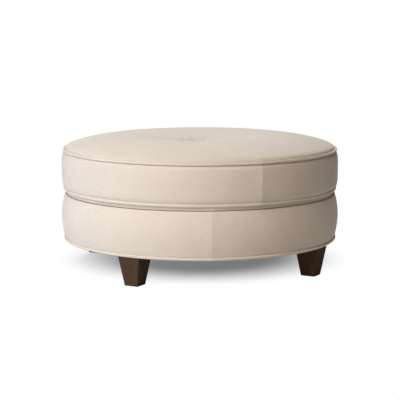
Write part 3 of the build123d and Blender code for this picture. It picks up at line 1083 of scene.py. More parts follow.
@dataclass
class Welts:
    """The four covered cords, each run round the piece in its seam.

    Attributes:
        cords: The cords, from the lowest up.
        wobble: How far a cord strays from a true circle.
        wander: How many times it does so in a metre.
        ring_steps: The points of a cord's ring.
        bead_steps: Those of its section.
        seed: The first cord's seed.
    """

    cords: tuple[Cord, ...] = (
        # Painted shade: the cord between base and cushion is darkened for the shade under the cushion's welt;
        # the others take the painted light and shade of their band's panels
        Cord("base_bottom_welt", 5.5 * MM, BASE_JOINT, (1.03, 1.02, 1.04), out=0.4 * MM, up=-1.5 * MM),
        Cord("base_top_welt", 5.0 * MM, BASE_JOINT, (0.94,), out=-1.4 * MM, up=-1.3 * MM, stretch=1.36),
        Cord("cushion_bottom_welt", 6.5 * MM, CUSHION_JOINT, (0.98, 1.02, 1.03), out=0.5 * MM),
        Cord("cushion_top_welt", 4.9 * MM, CUSHION_JOINT, (0.97, 1.0, 1.01), out=0.3 * MM, up=-0.9 * MM),
    )
    wobble: float = 0.35 * MM
    wander: float = 9.0
    ring_steps: int = 720
    bead_steps: int = 18
    seed: int = 7

    def tree(self) -> bpy.types.NodeTree:
        """A tree that runs a bead round a circle, with a slight wander.

        Returns:
            The tree.
        """
        tree, put, given = open_tree(
            "welt", ("Ring radius", "Height", "Bead radius", "Wobble", "Seed", "Joint angle", "Joint step",
                     "Rise", "Spread", "Round off", "Stretch"), ("Ring steps", "Bead steps"))
        ring, section = (put("GeometryNodeCurvePrimitiveCircle", {"Resolution": given[name + " steps"],
                                                                  "Radius": given[name + " radius"]})
                         for name in ("Ring", "Bead"))
        place = put("GeometryNodeInputPosition")
        noise = put("ShaderNodeTexNoise", {"Vector": place, "W": given["Seed"], "Scale": self.wander,
                                           "Detail": 1.0}, noise_dimensions="4D").outputs["Color"]
        centred = put("ShaderNodeVectorMath", {0: noise, 1: (0.5, 0.5, 0.5)}, operation="SUBTRACT")
        stray = put("ShaderNodeVectorMath", {0: centred, "Scale": given["Wobble"]}, operation="SCALE")
        lift = put("ShaderNodeCombineXYZ", {"Z": given["Height"]})
        outward = put("ShaderNodeVectorMath", {0: place}, operation="NORMALIZE")
        ridge = put("ShaderNodeVectorMath", {0: outward, "Scale": self.ridge(put, place, given)},
                    operation="SCALE")
        offset = stray
        for part in (lift, ridge):
            offset = put("ShaderNodeVectorMath", {0: offset, 1: part}, operation="ADD")
        moved = put("GeometryNodeSetPosition", {"Geometry": ring, "Offset": offset})
        bead = put("GeometryNodeCurveToMesh", {0: moved, 1: section})
        above = put("ShaderNodeVectorMath", {0: place, 1: lift}, operation="SUBTRACT")
        upright = put("ShaderNodeCombineXYZ", {"X": 1.0, "Y": 1.0, "Z": given["Stretch"]})
        drawn = put("ShaderNodeVectorMath", {0: above, 1: upright, 2: lift}, operation="MULTIPLY_ADD")
        oval = put("GeometryNodeSetPosition", {"Geometry": bead, "Position": drawn})
        close_tree(put, oval, given["Finish"])
        return tree

    def ridge(self, put: Adder, place: Source, given: bpy.types.NodeOutputs) -> Source:
        """The nodes that carry the cord over the band's ridges, by the same rule as Joint.ridge.

        Args:
            put: What adds a node to the tree.
            place: The place on the ring.
            given: The tree's inputs.

        Returns:
            How far the cord is pushed out.
        """
        split = put("ShaderNodeSeparateXYZ", {0: place})
        turns = put("ShaderNodeMath", {0: split.outputs["Y"], 1: split.outputs["X"]}, operation="ARCTAN2")
        for operation, name in (("SUBTRACT", "Joint angle"), ("DIVIDE", "Joint step")):
            turns = put("ShaderNodeMath", {0: turns, 1: given[name]}, operation=operation)
        whole = put("ShaderNodeMath", {0: turns}, operation="ROUND")
        along = put("ShaderNodeMath", {0: turns, 1: whole}, operation="SUBTRACT")
        for name in ("Joint step", "Ring radius"):
            along = put("ShaderNodeMath", {0: along, 1: given[name]}, operation="MULTIPLY")
        square = put("ShaderNodeMath", {0: given["Round off"], 1: 2.0}, operation="POWER")
        total = put("ShaderNodeMath", {0: along, 1: along, 2: square}, operation="MULTIPLY_ADD")
        far = put("ShaderNodeMath", {0: total}, operation="SQRT")
        blunt = put("ShaderNodeMath", {0: given["Round off"], 1: far}, operation="SUBTRACT")
        fall = put("ShaderNodeMath", {0: blunt, 1: given["Spread"]}, operation="DIVIDE")
        share = put("ShaderNodeMath", {0: fall}, operation="EXPONENT")
        return put("ShaderNodeMath", {0: share, 1: given["Rise"]}, operation="MULTIPLY")

    def lay_bias(self, mesh: bpy.types.Mesh, radius: float, height: float, bead: float) -> None:
        """Lays bias-cut cloth round a bead, so that its threads cross the cord at 45 degrees.

        Args:
            mesh: The bead.
            radius: The radius of its ring.
            height: The ring's height.
            bead: The bead's own radius.
        """
        corners = np.zeros(len(mesh.loops), dtype=np.int32)
        mesh.loops.foreach_get("vertex_index", corners)
        points = np.zeros(len(mesh.vertices) * 3)
        mesh.vertices.foreach_get("co", points)
        x, y, z = points.reshape(-1, 3)[corners].T
        angles = np.stack([np.arctan2(y, x), np.arctan2(z - height, np.hypot(x, y) - radius)])
        angles = angles.reshape(2, -1, 4)
        first = angles[:, :, :1]
        angles = first + (angles - first + math.pi) % ROUND - math.pi
        along, across = angles[0] * radius, angles[1] * bead
        bias = np.stack([along + across, along - across], axis=-1) / math.sqrt(2)
        layer = mesh.uv_layers.new(name=CLOTH_UV)
        layer.data.foreach_set("uv", bias.reshape(-1).astype(np.float32))

    def build(self, finishes: Finishes) -> None:
        """Makes the four welts where the frame has them.

        Args:
            finishes: The made materials.
        """
        tree = self.tree()
        for number, cord in enumerate(self.cords):
            low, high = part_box(cord.node)
            radius = high.x - cord.bead_radius + cord.out
            height = (low.z + high.z) / 2 + cord.up
            mesh = from_tree(cord.node + "_sleeve", tree, bpy.data.meshes.new(cord.node), {
                "Ring radius": radius, "Height": height, "Bead radius": cord.bead_radius,
                "Ring steps": self.ring_steps, "Bead steps": self.bead_steps, "Wobble": self.wobble,
                "Seed": float(self.seed + number), "Finish": finishes.cloth,
                "Joint angle": math.radians(cord.joint.angle), "Joint step": ROUND / cord.joint.count,
                "Rise": cord.joint.rise, "Spread": cord.joint.spread, "Round off": cord.joint.round_off,
                "Stretch": cord.stretch,
            })
            self.lay_bias(mesh, radius, height, cord.bead_radius)
            piece = smooth_object(cord.node + "_cord", mesh, finishes.cloth)
            # Paints each length's light and shade into its colour
            tone_and_shade_pieces(mesh, cord.joint.angle, cord.tones_and_painted_shade)
            settle(piece, Slot.LINEN, cord.node, fill=1.0)


@dataclass
class CrownedTop:
    """The cushion's crowned top, drawn down by its button into a broad hollow with a tight pit.

    Attributes:
        rim_radius: The radius of the seam at the top welt.
        rim_height: The height of that seam.
        low: The height of its flat underside.
        hole_radius: The radius of the hole for the twine.
        joint: The joints of the band that it is sewn to, whose ridges push its rim out.
        rise: The height of the crown above the seam.
        power: The power that shapes the crown: high gives a flat top.
        root: The root that shapes it: low draws it in sharply at the seam.
        hollow_radius: The radius of the broad hollow round the button.
        hollow_depth: Its depth.
        pit_radius: The radius of the steeper pit in it.
        pit_depth: The pit's own depth.
        seat_radius: The radius of the flat seat under the button.
        taut_radius: The radius within which the button's pull holds the cloth where it is.
        turn: The turn of the cloth's threads about the axis, in degrees.
        creases: For each pleat round the button, its direction in degrees and its depth in millimetres.
        crease_reach: How far from the button they die away to a third.
        crease_width: How much wider each half of one gets over crease_reach.
        crease_start: The width of that half at the very middle, as a share of that.
        crease_from: How far out they start, in seat radii.
        brow: How far from a pleat's middle the cloth beside it swells, in widths of its half.
        brow_share: How much it swells, as a share of the pleat's depth.
        puckers: The puckers beside its seam.
        pucker_phases: The phases of the waves that make them.
        margin: The height of the margin below its seam.
        bevel: How far in its underside starts.
        seat_depth: How far the cloth goes down into the hole under the button.
        ridge_power: The power of its radius by which the band's ridges push the top out.
        inner_rows: The rows of points in the broad hollow.
        outer_rows: Those from there to the seam.
        crowding: The power by which those rows crowd towards the seam.
        columns: The columns of points.
        tone: The cloth's tone.
        trial_cell: The size of the mesh cells of the cloth simulation.
        held_cells: How many cells wide its rim is held.
        stuffing: How the top is blown up.
    """

    rim_radius: float
    rim_height: float
    low: float
    hole_radius: float
    joint: Joint
    rise: float = 41.8 * MM
    power: float = 3.6
    root: float = 0.52
    hollow_radius: float = 0.24
    hollow_depth: float = 18.5 * MM
    pit_radius: float = 0.09
    pit_depth: float = 14.8 * MM
    seat_radius: float = 15 * MM
    taut_radius: float = 70 * MM
    turn: float = 29.5
    creases: tuple[tuple[float, float], ...] = ((216, 13.0), (252, 1.2), (300, 0.6), (5, 14.0), (56, 2.2),
                                                (95, 1.5), (140, 2.0), (178, 3.2))
    crease_reach: float = 0.135
    crease_width: float = 10 * MM
    crease_start: float = 0.45
    crease_from: float = 0.9
    brow: float = 1.6
    brow_share: float = 0.5
    puckers: Puckers = Puckers(0.35 * MM, 24 * MM, 16 * MM)
    pucker_phases: tuple[float, ...] = (0.8, 3.9, 1.9, 5.6)
    margin: float = 4 * MM
    bevel: float = 3 * MM
    seat_depth: float = 1 * MM
    ridge_power: int = 10
    inner_rows: int = 48
    outer_rows: int = 46
    crowding: float = 1.35
    columns: int = 480
    tone: float = 1.0
    trial_cell: float = 6.5 * MM
    held_cells: float = 1.6
    stuffing: Stuffing = Stuffing(pressure=0.3, slack=0.0, bend=0.6)

    def height(self, radius: np.ndarray) -> np.ndarray:
        """The height of the crown with its hollow at a radius, before the cloth is blown up.

        Args:
            radius: The radii.

        Returns:
            The height at each.
        """
        share = np.clip(radius / self.rim_radius, 0, 1)
        height = self.rim_height + self.rise * (1 - share**self.power) ** self.root
        for reach, depth in ((self.hollow_radius, self.hollow_depth), (self.pit_radius, self.pit_depth)):
            height = height - depth * np.clip(1 - (radius / reach) ** 2, 0, None) ** 2
        return height

    def blown(self, x: np.ndarray, y: np.ndarray) -> np.ndarray:
        """How far the wadding lifts the cloth between the welt and the button.

        Args:
            x: The wanted places' X.
            y: Their Y.

        Returns:
            The lift at each place.
        """
        half = int(self.rim_radius / self.trial_cell)
        line = np.arange(-half, half + 1) * self.trial_cell
        grid_y, grid_x = np.meshgrid(line, line, indexing="ij")
        radius = np.hypot(grid_x, grid_y)
        inside = radius < self.rim_radius
        number = np.full(radius.shape, -1)
        number[inside] = np.arange(inside.sum())
        corners = np.stack([number[:-1, :-1], number[:-1, 1:], number[1:, 1:], number[1:, :-1]], axis=-1)
        faces = corners[(corners >= 0).all(axis=-1)]
        points = np.stack([grid_x[inside], grid_y[inside], self.height(radius[inside])], axis=-1)
        mesh = bpy.data.meshes.new("cushion_top_trial")
        mesh.from_pydata(points.tolist(), [], faces.tolist())
        held = ((radius[inside] > self.rim_radius - self.held_cells * self.trial_cell)
                | (radius[inside] < self.taut_radius)).astype(float)
        move = self.stuffing.moved("cushion_top", mesh, held)
        lift = np.zeros(radius.shape)
        lift[inside] = move[:, 2]
        log.info("cushion top: lifted by %.1f mm on average", move[:, 2].mean() / MM)
        return sample_field(lift, y / self.trial_cell + half, x / self.trial_cell + half, round_columns=False)

    def pleats(self, radius: np.ndarray, angles: np.ndarray) -> np.ndarray:
        """The soft pleats that the button draws into the cloth round it.

        Args:
            radius: Each point's radius.
            angles: Its angle, in radians.

        Returns:
            What each point's height gains.
        """
        gain = np.zeros_like(radius)
        width = self.crease_width * (self.crease_start + radius / self.crease_reach)
        start = np.clip(radius / self.seat_radius - self.crease_from, 0, 1)
        fade = np.exp(-(radius / self.crease_reach) ** 2) * start
        for angle, depth in self.creases:
            gap = (angles - math.radians(angle) + math.pi) % ROUND - math.pi
            across = gap * radius / width
            brows = self.brow_share * np.exp(-((np.abs(across) - self.brow) ** 2))
            gain -= depth * MM * fade * (np.exp(-across**2) - brows)
        return gain

    def build(self, finishes: Finishes) -> None:
        """Makes the top as a closed form, open only at the hole for the twine.

        Args:
            finishes: The made materials.
        """
        inner = np.linspace(self.seat_radius, self.hollow_radius, self.inner_rows)
        share = (1 - np.linspace(0, 1, self.outer_rows)) ** self.crowding
        outer = self.rim_radius - (self.rim_radius - self.hollow_radius) * share
        radii = np.concatenate([inner, outer[1:]])
        angles = ring_angles(self.columns)
        ring, turn = np.meshgrid(radii, angles, indexing="ij")
        lift = self.blown(ring * np.cos(turn), ring * np.sin(turn)) + self.pleats(ring, turn)
        lift += self.puckers.lift(self.rim_radius - ring, turn, self.rim_radius, self.pucker_phases)
        top = np.stack([radii, self.height(radii)], axis=1)
        seat = float(self.height(np.array([self.seat_radius]))[0])
        under = np.array([(self.rim_radius, self.rim_height - self.margin),
                          (self.rim_radius - self.bevel, self.low), (self.rim_radius * 0.6, self.low),
                          (self.hole_radius, self.low), (self.hole_radius, seat - self.seat_depth)])
        section = np.concatenate([top, under])
        up = np.concatenate([lift, np.zeros((len(under), len(angles)))])
        pushed = self.joint.ridge(self.joint.along(angles, self.rim_radius))
        out = (section[:, 0, None] / self.rim_radius) ** self.ridge_power * pushed
        piece = turned_piece("cushion_top_cover", section, angles, out, up, finishes.cloth, closed=True,
                             turn=self.turn)
        tone_and_shade_pieces(piece.data, 0, (self.tone,))
        settle(piece, Slot.LINEN, "cushion_top", fill=0.8)


@dataclass
class TuftButton:
    """The covered button: cloth gathered over a domed shell.

    Attributes:
        gathers: How many gathers lie round its edge.
        gather_depth: Their depth.
        middle: The height of its widest place, as a share of its own.
        tuck: How far round its edge the cloth is tucked in, in radians.
        rows: The rows of points of its section.
        columns: The columns of points.
        tone: The cloth's tone.
    """

    gathers: int = 14
    gather_depth: float = 0.18 * MM
    middle: float = 0.42
    tuck: float = 0.36 * math.pi
    rows: int = 16
    columns: int = 96
    tone: float = 0.97

    def build(self, finishes: Finishes) -> None:
        """Makes the button where the frame has it.

        Args:
            finishes: The made materials.
        """
        low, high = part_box("button")
        turn = np.linspace(-self.tuck, 0.5 * math.pi, self.rows)
        middle = low.z + self.middle * (high.z - low.z)
        rise = np.where(turn > 0, high.z - middle, (middle - low.z) / math.sin(self.tuck))
        section = np.stack([high.x * np.cos(turn), middle + rise * np.sin(turn)], axis=1)
        section[-1, 0] = 0
        section = np.concatenate([[(0, section[0, 1])], section])
        angles = ring_angles(self.columns)
        edge = np.concatenate([[0], np.cos(turn) ** 2])[:, None]
        out = -self.gather_depth * edge * (0.5 + 0.5 * np.cos(self.gathers * angles))
        piece = turned_piece("button_cover", section, angles, out, 0 * out, finishes.cloth, closed=False)
        tone_and_shade_pieces(piece.data, 0, (self.tone,))
        settle(piece, Slot.LINEN, "button")


@dataclass
class FoamCore:
    """The foam slab of the cushion, with edges that the covers press round.

    Attributes:
        edge_round: The radius of its pressed edges.
        edge_rows: The rows of points round each.
        twine_hole: The radius of the hole for the twine.
        wave_height: The height of its side's unevenness.
        wave_length: The length of that.
        columns: The columns of points.
    """

    edge_round: float = 9 * MM
    edge_rows: int = 7
    twine_hole: float = 7 * MM
    wave_height: float = 0.6 * MM
    wave_length: float = 0.09
    columns: int = 240

    def build(self, finishes: Finishes) -> None:
        """Makes the slab where the frame has it, with a hole for the twine.

        Args:
            finishes: The made materials.
        """
        low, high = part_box("cushion_core")
        turn = np.linspace(0, math.pi / 2, self.edge_rows)
        rim, r = high.x, self.edge_round
        lower = [(rim - r + r * math.sin(a), low.z + r - r * math.cos(a)) for a in turn]
        upper = [(rim - r + r * math.cos(a), high.z - r + r * math.sin(a)) for a in turn]
        section = np.array(lower + upper + [(self.twine_hole, high.z), (self.twine_hole, low.z)])
        angles = ring_angles(self.columns)
        out = np.zeros((len(section), len(angles)))
        out[:2 * self.edge_rows] = self.wave_height * ripple(angles, rim, self.wave_length, (0.3, 2.8, 4.6))
        piece = turned_piece("foam_core", section, angles, out, 0 * out, finishes.foam, closed=True,
                             radius=rim)
        settle(piece, Slot.FOAM, "cushion_core", fill=1.0)


@dataclass
class Underside:
    """The dust cloth under the drum, stapled to the bottom ring.

    Attributes:
        thickness: The cloth's thickness.
        sag: How far it hangs down in the middle.
        crinkle: The height of the slack creases in it.
        opening_radius: The radius inside which it hangs free.
        staple_ring: The radius of the ring of staples.
        staple_spacing: Their distance.
        staple_length: The length of a staple's back.
        staple_legs: How high its ends go up into the cloth.
        staple_bow: How far its back is bowed down.
        staple_skew: The most that one is turned out of line, in radians.
        wire_radius: The radius of its wire.
        scallop: How far the cloth hangs between two staples.
        hold: How far from the ring of staples their hold dies away to a third.
        inner_rows: The rows of points where it hangs free, without its middle point.
        outer_rows: Those from there to its rim.
        columns: The columns of points.
        seed: The seed of the staples' turns.
    """

    thickness: float = 0.6 * MM
    sag: float = 3.5 * MM
    crinkle: float = 0.5 * MM
    opening_radius: float = 0.372
    staple_ring: float = 0.448
    staple_spacing: float = 38 * MM
    staple_length: float = 10 * MM
    staple_legs: float = 1.0 * MM
    staple_bow: float = 0.9 * MM
    staple_skew: float = 0.16
    wire_radius: float = 0.5 * MM
    scallop: float = 0.5 * MM
    hold: float = 11 * MM
    inner_rows: int = 30
    outer_rows: int = 22
    columns: int = 480
    seed: int = 3

    def staple_count(self) -> int:
        """How many staples go round the ring."""
        return round(ROUND * self.staple_ring / self.staple_spacing)

    def cloth(self, finishes: Finishes) -> None:
        """Makes the dust cloth: flat on the ring, drawn up at each staple, and slightly slack inside it.

        Args:
            finishes: The made materials.
        """
        _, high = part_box("dust_cover")
        rim, opening = high.x, self.opening_radius
        inner = np.linspace(20 * MM, opening, self.inner_rows)
        outer = np.linspace(opening + 4 * MM, rim, self.outer_rows)
        radii = np.concatenate([[0], inner, outer])
        angles = ring_angles(self.columns)
        ring, turn = np.meshgrid(radii, angles, indexing="ij")
        share = ring / opening
        hanging = np.clip(1 - share**2, 0, None)
        slack = hanging * (self.crinkle * np.sin(9 * share + 3 * turn) - self.sag)
        pull = 0.5 - 0.5 * np.cos(turn * self.staple_count())
        near = np.exp(-((ring - self.staple_ring) / self.hold) ** 2)
        slack -= self.scallop * pull * np.clip((ring - opening) / (rim - opening), 0, 1) * (1 - near * 0.3)
        section = np.stack([radii, np.full(len(radii), high.z - self.thickness)], axis=1)
        piece = turned_piece("dust_cloth_sheet", section, angles, 0 * slack, slack, finishes.dust_cloth,
                             closed=False)
        solid = piece.modifiers.new("thickness", "SOLIDIFY")
        solid.thickness = self.thickness
        solid.offset = 0
        settle(piece, Slot.DUST_CLOTH, "dust_cover")

    def tree(self) -> bpy.types.NodeTree:
        """A tree that sets bent wire staples round a circle.

        Returns:
            The tree.
        """
        tree, put, given = open_tree("staples", ("Ring radius", "Height", "Length", "Wire radius"),
                                     ("Count", "Seed"))
        half = put("ShaderNodeMath", {0: given["Length"], 1: 0.5}, operation="MULTIPLY")
        back = put("ShaderNodeMath", {0: half, 1: -1.0}, operation="MULTIPLY")
        first, first_handle, last, last_handle = (
            put("ShaderNodeCombineXYZ", {"X": side, "Z": height})
            for side in (back, half) for height in (self.staple_legs, -self.staple_bow))
        wire = put("GeometryNodeCurvePrimitiveBezierSegment", {
            "Resolution": 10, "Start": first, "Start Handle": first_handle, "End Handle": last_handle,
            "End": last,
        }, mode="POSITION")
        section = put("GeometryNodeCurvePrimitiveCircle", {"Resolution": 6, "Radius": given["Wire radius"]})
        staple = put("GeometryNodeCurveToMesh", {0: wire, 1: section, "Fill Caps": True})
        ring = put("GeometryNodeCurvePrimitiveCircle",
                   {"Resolution": given["Count"], "Radius": given["Ring radius"]})
        turn = put("FunctionNodeAlignRotationToVector", {"Vector": put("GeometryNodeInputTangent")}, axis="X")
        skew = self.staple_skew
        stray = put("FunctionNodeRandomValue", {0: (0.0, 0.0, -skew), 1: (0.0, 0.0, skew),
                                                "Seed": given["Seed"]}, data_type="FLOAT_VECTOR")
        tilt = put("FunctionNodeRotateRotation", {0: turn, 1: stray}, rotation_space="LOCAL")
        lift = put("ShaderNodeCombineXYZ", {"Z": given["Height"]})
        moved = put("GeometryNodeSetPosition", {"Geometry": ring, "Offset": lift})
        placed = put("GeometryNodeInstanceOnPoints", {"Points": moved, "Instance": staple, "Rotation": tilt})
        close_tree(put, placed, given["Finish"])
        return tree

    def staples(self, finishes: Finishes) -> None:
        """Makes the staples that hold the dust cloth.

        Args:
            finishes: The made materials.
        """
        low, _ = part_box("dust_cover")
        mesh = from_tree("dust_cloth_staples", self.tree(), bpy.data.meshes.new("staples"), {
            "Ring radius": self.staple_ring, "Height": low.z - 0.1 * MM, "Count": self.staple_count(),
            "Length": self.staple_length, "Wire radius": self.wire_radius, "Seed": self.seed,
            "Finish": finishes.steel,
        })
        piece = smooth_object("dust_cloth_staples", mesh, finishes.steel)
        settle(piece, Slot.STEEL)

    def build(self, finishes: Finishes) -> None:
        """Makes the dust cloth and its staples.

        Args:
            finishes: The made materials.
        """
        self.cloth(finishes)
        self.staples(finishes)


@dataclass
class SeamStitches:
    """The two rows of top stitching that lie beside each sewn joint of the bands.

    Attributes:
        offset: How far beside the joint a row lies.
        pitch: The distance from stitch to stitch.
        length: A stitch's length.
        thread_radius: The radius of the thread.
        margin: How far from the welts a row ends.
        seed: The first band's seed.
    """

    offset: float = 6.4 * MM
    pitch: float = 4.2 * MM
    length: float = 3.3 * MM
    thread_radius: float = 0.35 * MM
    margin: float = 5 * MM
    seed: int = 11

    def tree(self) -> bpy.types.NodeTree:
        """A tree that sets stitches along the lines that it starts from.

        Returns:
            The tree.
        """
        tree, put, given = open_tree("stitches", ("Pitch", "Length", "Thread radius"), ("Seed",))
        line = put("GeometryNodeMeshToCurve", {0: given["Geometry"]})
        spaced = put("GeometryNodeResampleCurve", {0: line, "Length": given["Pitch"]}, mode="LENGTH")
        stitch = put("GeometryNodeMeshUVSphere", {"Segments": 6, "Rings": 5, "Radius": 1.0})
        half = put("ShaderNodeMath", {0: given["Length"], 1: 0.5}, operation="MULTIPLY")
        jitter = put("FunctionNodeRandomValue", {2: 0.9, 3: 1.08, "Seed": given["Seed"]},
                     data_type="FLOAT").outputs[1]
        long = put("ShaderNodeMath", {0: half, 1: jitter}, operation="MULTIPLY")
        thread = given["Thread radius"]
        size = put("ShaderNodeCombineXYZ", {"X": thread, "Y": thread, "Z": long})
        turn = put("FunctionNodeAlignRotationToVector", {"Vector": put("GeometryNodeInputTangent")}, axis="Z")
        placed = put("GeometryNodeInstanceOnPoints", {"Points": spaced, "Instance": stitch, "Rotation": turn,
                                                      "Scale": size})
        close_tree(put, placed, given["Finish"])
        return tree

    def build(self, bands: list[Band], finishes: Finishes) -> None:
        """Makes the stitches of each band.

        Args:
            bands: The bands whose joints are stitched.
            finishes: The made materials.
        """
        tree = self.tree()
        for number, band in enumerate(bands):
            points, edges = [], []
            for seam in band.joint.angles():
                for side in (-1, 1):
                    line = band.seam_line(seam, side * self.offset, self.margin)
                    edges += [(len(points) + i, len(points) + i + 1) for i in range(len(line) - 1)]
                    points += line
            start = bpy.data.meshes.new(band.name + "_seam_lines")
            start.from_pydata(points, edges, [])
            mesh = from_tree(band.name + "_stitches", tree, start, {
                "Pitch": self.pitch, "Length": self.length, "Thread radius": self.thread_radius,
                "Seed": self.seed + number, "Finish": finishes.thread,
            })
            piece = smooth_object(band.name + "_stitches", mesh, finishes.thread)
            settle(piece, Slot.LINEN)


@dataclass(frozen=True)
class Lamp:
    """A soft box: a rectangular light at a bearing from the object, which faces it.

    Attributes:
        name: The lamp's name.
        bearing: Its direction round the object, in degrees from the camera towards the camera's right.
        elevation: Its height above the horizon, in degrees.
        power: Its power in watts.
        tint: Its colour.
        distance: How far off it is.
        size: The length of its sides.
    """

    name: str
    bearing: float
    elevation: float
    power: float
    tint: str
    distance: float = 3.2
    size: float = 1.8


@dataclass
class Studio:
    """The pale floor, the lamps, the white backdrop and the camera at the photograph's place.

    The floor's paper is white far off, and fades to its lit and shaded self round the object.

    Attributes:
        view_azimuth: The camera's direction round the object, from -Y towards +X.
        view_elevation: Its height above the horizon.
        view_distance: Its distance from the middle of the object.
        middle_height: The height on the axis that the distance is measured from.
        sensor_width: The width of its sensor, in millimetres.
        focal_pixels: Its focal length in pixels of the 400 pixel frame.
        middle_pixel: Where that point on the axis lies in the photograph.
        frame_pixels: The side of the photograph's square frame.
        lamps: The soft boxes.
        room_level: The strength of the even light of the room.
        room_tint: Its colour.
        floor_radius: How far the floor reaches.
        floor_rings: The radii of the rings of points between its middle and its edge.
        floor_columns: The points of each ring.
        floor_shade: The colour of its paper.
        floor_glow: How much lighter than its own shade it shows.
        fade_from: The distance from the fade's centre at which the paper starts to turn white.
        fade_to: The distance at which it is all white.
        fade_centre: The fade's centre on the floor.
    """

    view_azimuth: float = 29.5
    view_elevation: float = 8.6555
    view_distance: float = 4.895
    middle_height: float = 0.2171
    sensor_width: float = 36
    focal_pixels: float = 1391.8
    middle_pixel: tuple[float, float] = (199.86, 202.95)
    frame_pixels: int = 400
    lamps: tuple[Lamp, ...] = (
        Lamp("key_box", -25, 42, 45, "#FBFFFF"),
        Lamp("low_box", -50, 12, 37, "#EEF3FF"),
        Lamp("side_box", -100, 12, 17.7, "#DBEEFF"),
        Lamp("top_box", 0, 72, 15.8, "#F1FFF4"),
        Lamp("back_box", 180, 42, 64.8, "#EEF2FF"),
        Lamp("warm_box", 10, 42, 8.3, "#FFBF00"),
    )
    room_level: float = 0.008
    room_tint: str = "#FFC070"
    floor_radius: float = 30.0
    floor_rings: tuple[float, ...] = (0.8, 2.0, 6.0)
    floor_columns: int = 64
    floor_shade: str = "#E6E6E8"
    floor_glow: float = 0.178
    fade_from: float = 0.245
    fade_to: float = 0.565
    fade_centre: tuple[float, float] = (-0.08, 0.146)

    def direction(self, azimuth: float, elevation: float) -> Vector:
        """The way from the object to a place round it, with both angles in degrees and azimuth 0 on -Y."""
        a, e = math.radians(azimuth), math.radians(elevation)
        return Vector((math.sin(a) * math.cos(e), -math.cos(a) * math.cos(e), math.sin(e)))

    def add_camera(self) -> None:
        """Sets the camera where the photograph was taken from."""
        data = bpy.data.cameras.new("camera")
        data.sensor_width = self.sensor_width
        data.lens = self.focal_pixels / self.frame_pixels * data.sensor_width
        centre = self.frame_pixels / 2
        data.shift_x = (centre - self.middle_pixel[0]) / self.frame_pixels
        data.shift_y = (self.middle_pixel[1] - centre) / self.frame_pixels
        bpy.context.scene.camera = self.aim(data, self.view_azimuth, self.view_elevation, self.view_distance)

    def aim(self, data: bpy.types.ID, azimuth: float, elevation: float, distance: float) -> bpy.types.Object:
        """Puts a camera or lamp at a place round the object, facing it.

        Args:
            data: The camera or lamp.
            azimuth: Its direction round the object, in degrees.
            elevation: Its height above the horizon, in degrees.
            distance: How far off it is.

        Returns:
            Its object.
        """
        placed = bpy.data.objects.new(data.name, data)
        back = self.direction(azimuth, elevation)
        placed.location = Vector((0, 0, self.middle_height)) + back * distance
        placed.rotation_euler = back.to_track_quat("Z", "Y").to_euler()
        bpy.context.scene.collection.objects.link(placed)
        return placed

    def add_lamps(self) -> None:
        """Hangs the soft boxes round the object."""
        for lamp in self.lamps:
            data = bpy.data.lights.new(lamp.name, "AREA")
            data.size = lamp.size
            data.energy = lamp.power
            data.color = linear(lamp.tint)[:3]
            self.aim(data, self.view_azimuth + lamp.bearing, lamp.elevation, lamp.distance)

    def unlit(self, put: Adder) -> Source:
        """1 for what the camera sees, also in reflections and through glass, and 0 for what lights things.

        Args:
            put: What adds a node to the tree.

        Returns:
            The share.
        """
        path = put("ShaderNodeLightPath").outputs
        seen = path["Is Camera Ray"]
        for ray in ("Is Glossy Ray", "Is Transmission Ray"):
            seen = put("ShaderNodeMath", {0: seen, 1: path[ray]}, operation="MAXIMUM")
        return seen

    def add_room(self) -> None:
        """Lights the room evenly, and shows it white to the camera and in reflections."""
        world = bpy.data.worlds.new("room")
        bpy.context.scene.world = world
        world.use_nodes = True
        world.node_tree.nodes.clear()
        put = partial(add, world.node_tree)
        soft = put("ShaderNodeBackground", {"Color": linear(self.room_tint), "Strength": self.room_level})
        white = put("ShaderNodeBackground", {"Color": (1, 1, 1, 1), "Strength": 1.0})
        mixed = put("ShaderNodeMixShader", {0: self.unlit(put), 1: soft, 2: white})
        put("ShaderNodeOutputWorld", {"Surface": mixed})

    def floor_finish(self) -> bpy.types.Material:
        """Matt white paper that keeps the object's shadow and runs out to plain white.

        Returns:
            The material.
        """
        material, put = new_material("matt_white_paper")
        place = put("ShaderNodeTexCoord").outputs["Object"]
        gap = put("ShaderNodeVectorMath", {0: place, 1: (*self.fade_centre, 0)}, operation="SUBTRACT")
        distance = put("ShaderNodeVectorMath", {0: gap}, operation="LENGTH").outputs["Value"]
        far = put("ShaderNodeMapRange", {0: distance, 1: self.fade_from, 2: self.fade_to},
                  interpolation_type="SMOOTHSTEP")
        paper = put("ShaderNodeBsdfDiffuse", {"Color": linear(self.floor_shade), "Roughness": 0.0})
        glow, white = (put("ShaderNodeEmission", {"Color": (1, 1, 1, 1), "Strength": strength})
                       for strength in (self.floor_glow, 1.0))
        lit = put("ShaderNodeAddShader", {0: paper, 1: glow})
        faded = put("ShaderNodeMixShader", {0: far, 1: lit, 2: white})
        mixed = put("ShaderNodeMixShader", {0: self.unlit(put), 1: paper, 2: faded})
        put("ShaderNodeOutputMaterial", {"Surface": mixed})
        return material

    def add_floor(self) -> None:
        """Lays the floor, as a wide disc of rings."""
        radii = np.array([0, *self.floor_rings, self.floor_radius])
        section = np.stack([radii, 0 * radii], axis=1)
        angles = ring_angles(self.floor_columns)
        still = np.zeros((len(radii), len(angles)))
        turned_piece("floor", section, angles, still, still, self.floor_finish(), closed=False)

    def build(self) -> None:
        """Sets up the studio."""
        self.add_camera()
        self.add_lamps()
        self.add_room()
        self.add_floor()
        bpy.context.scene.view_settings.view_transform = "Standard"


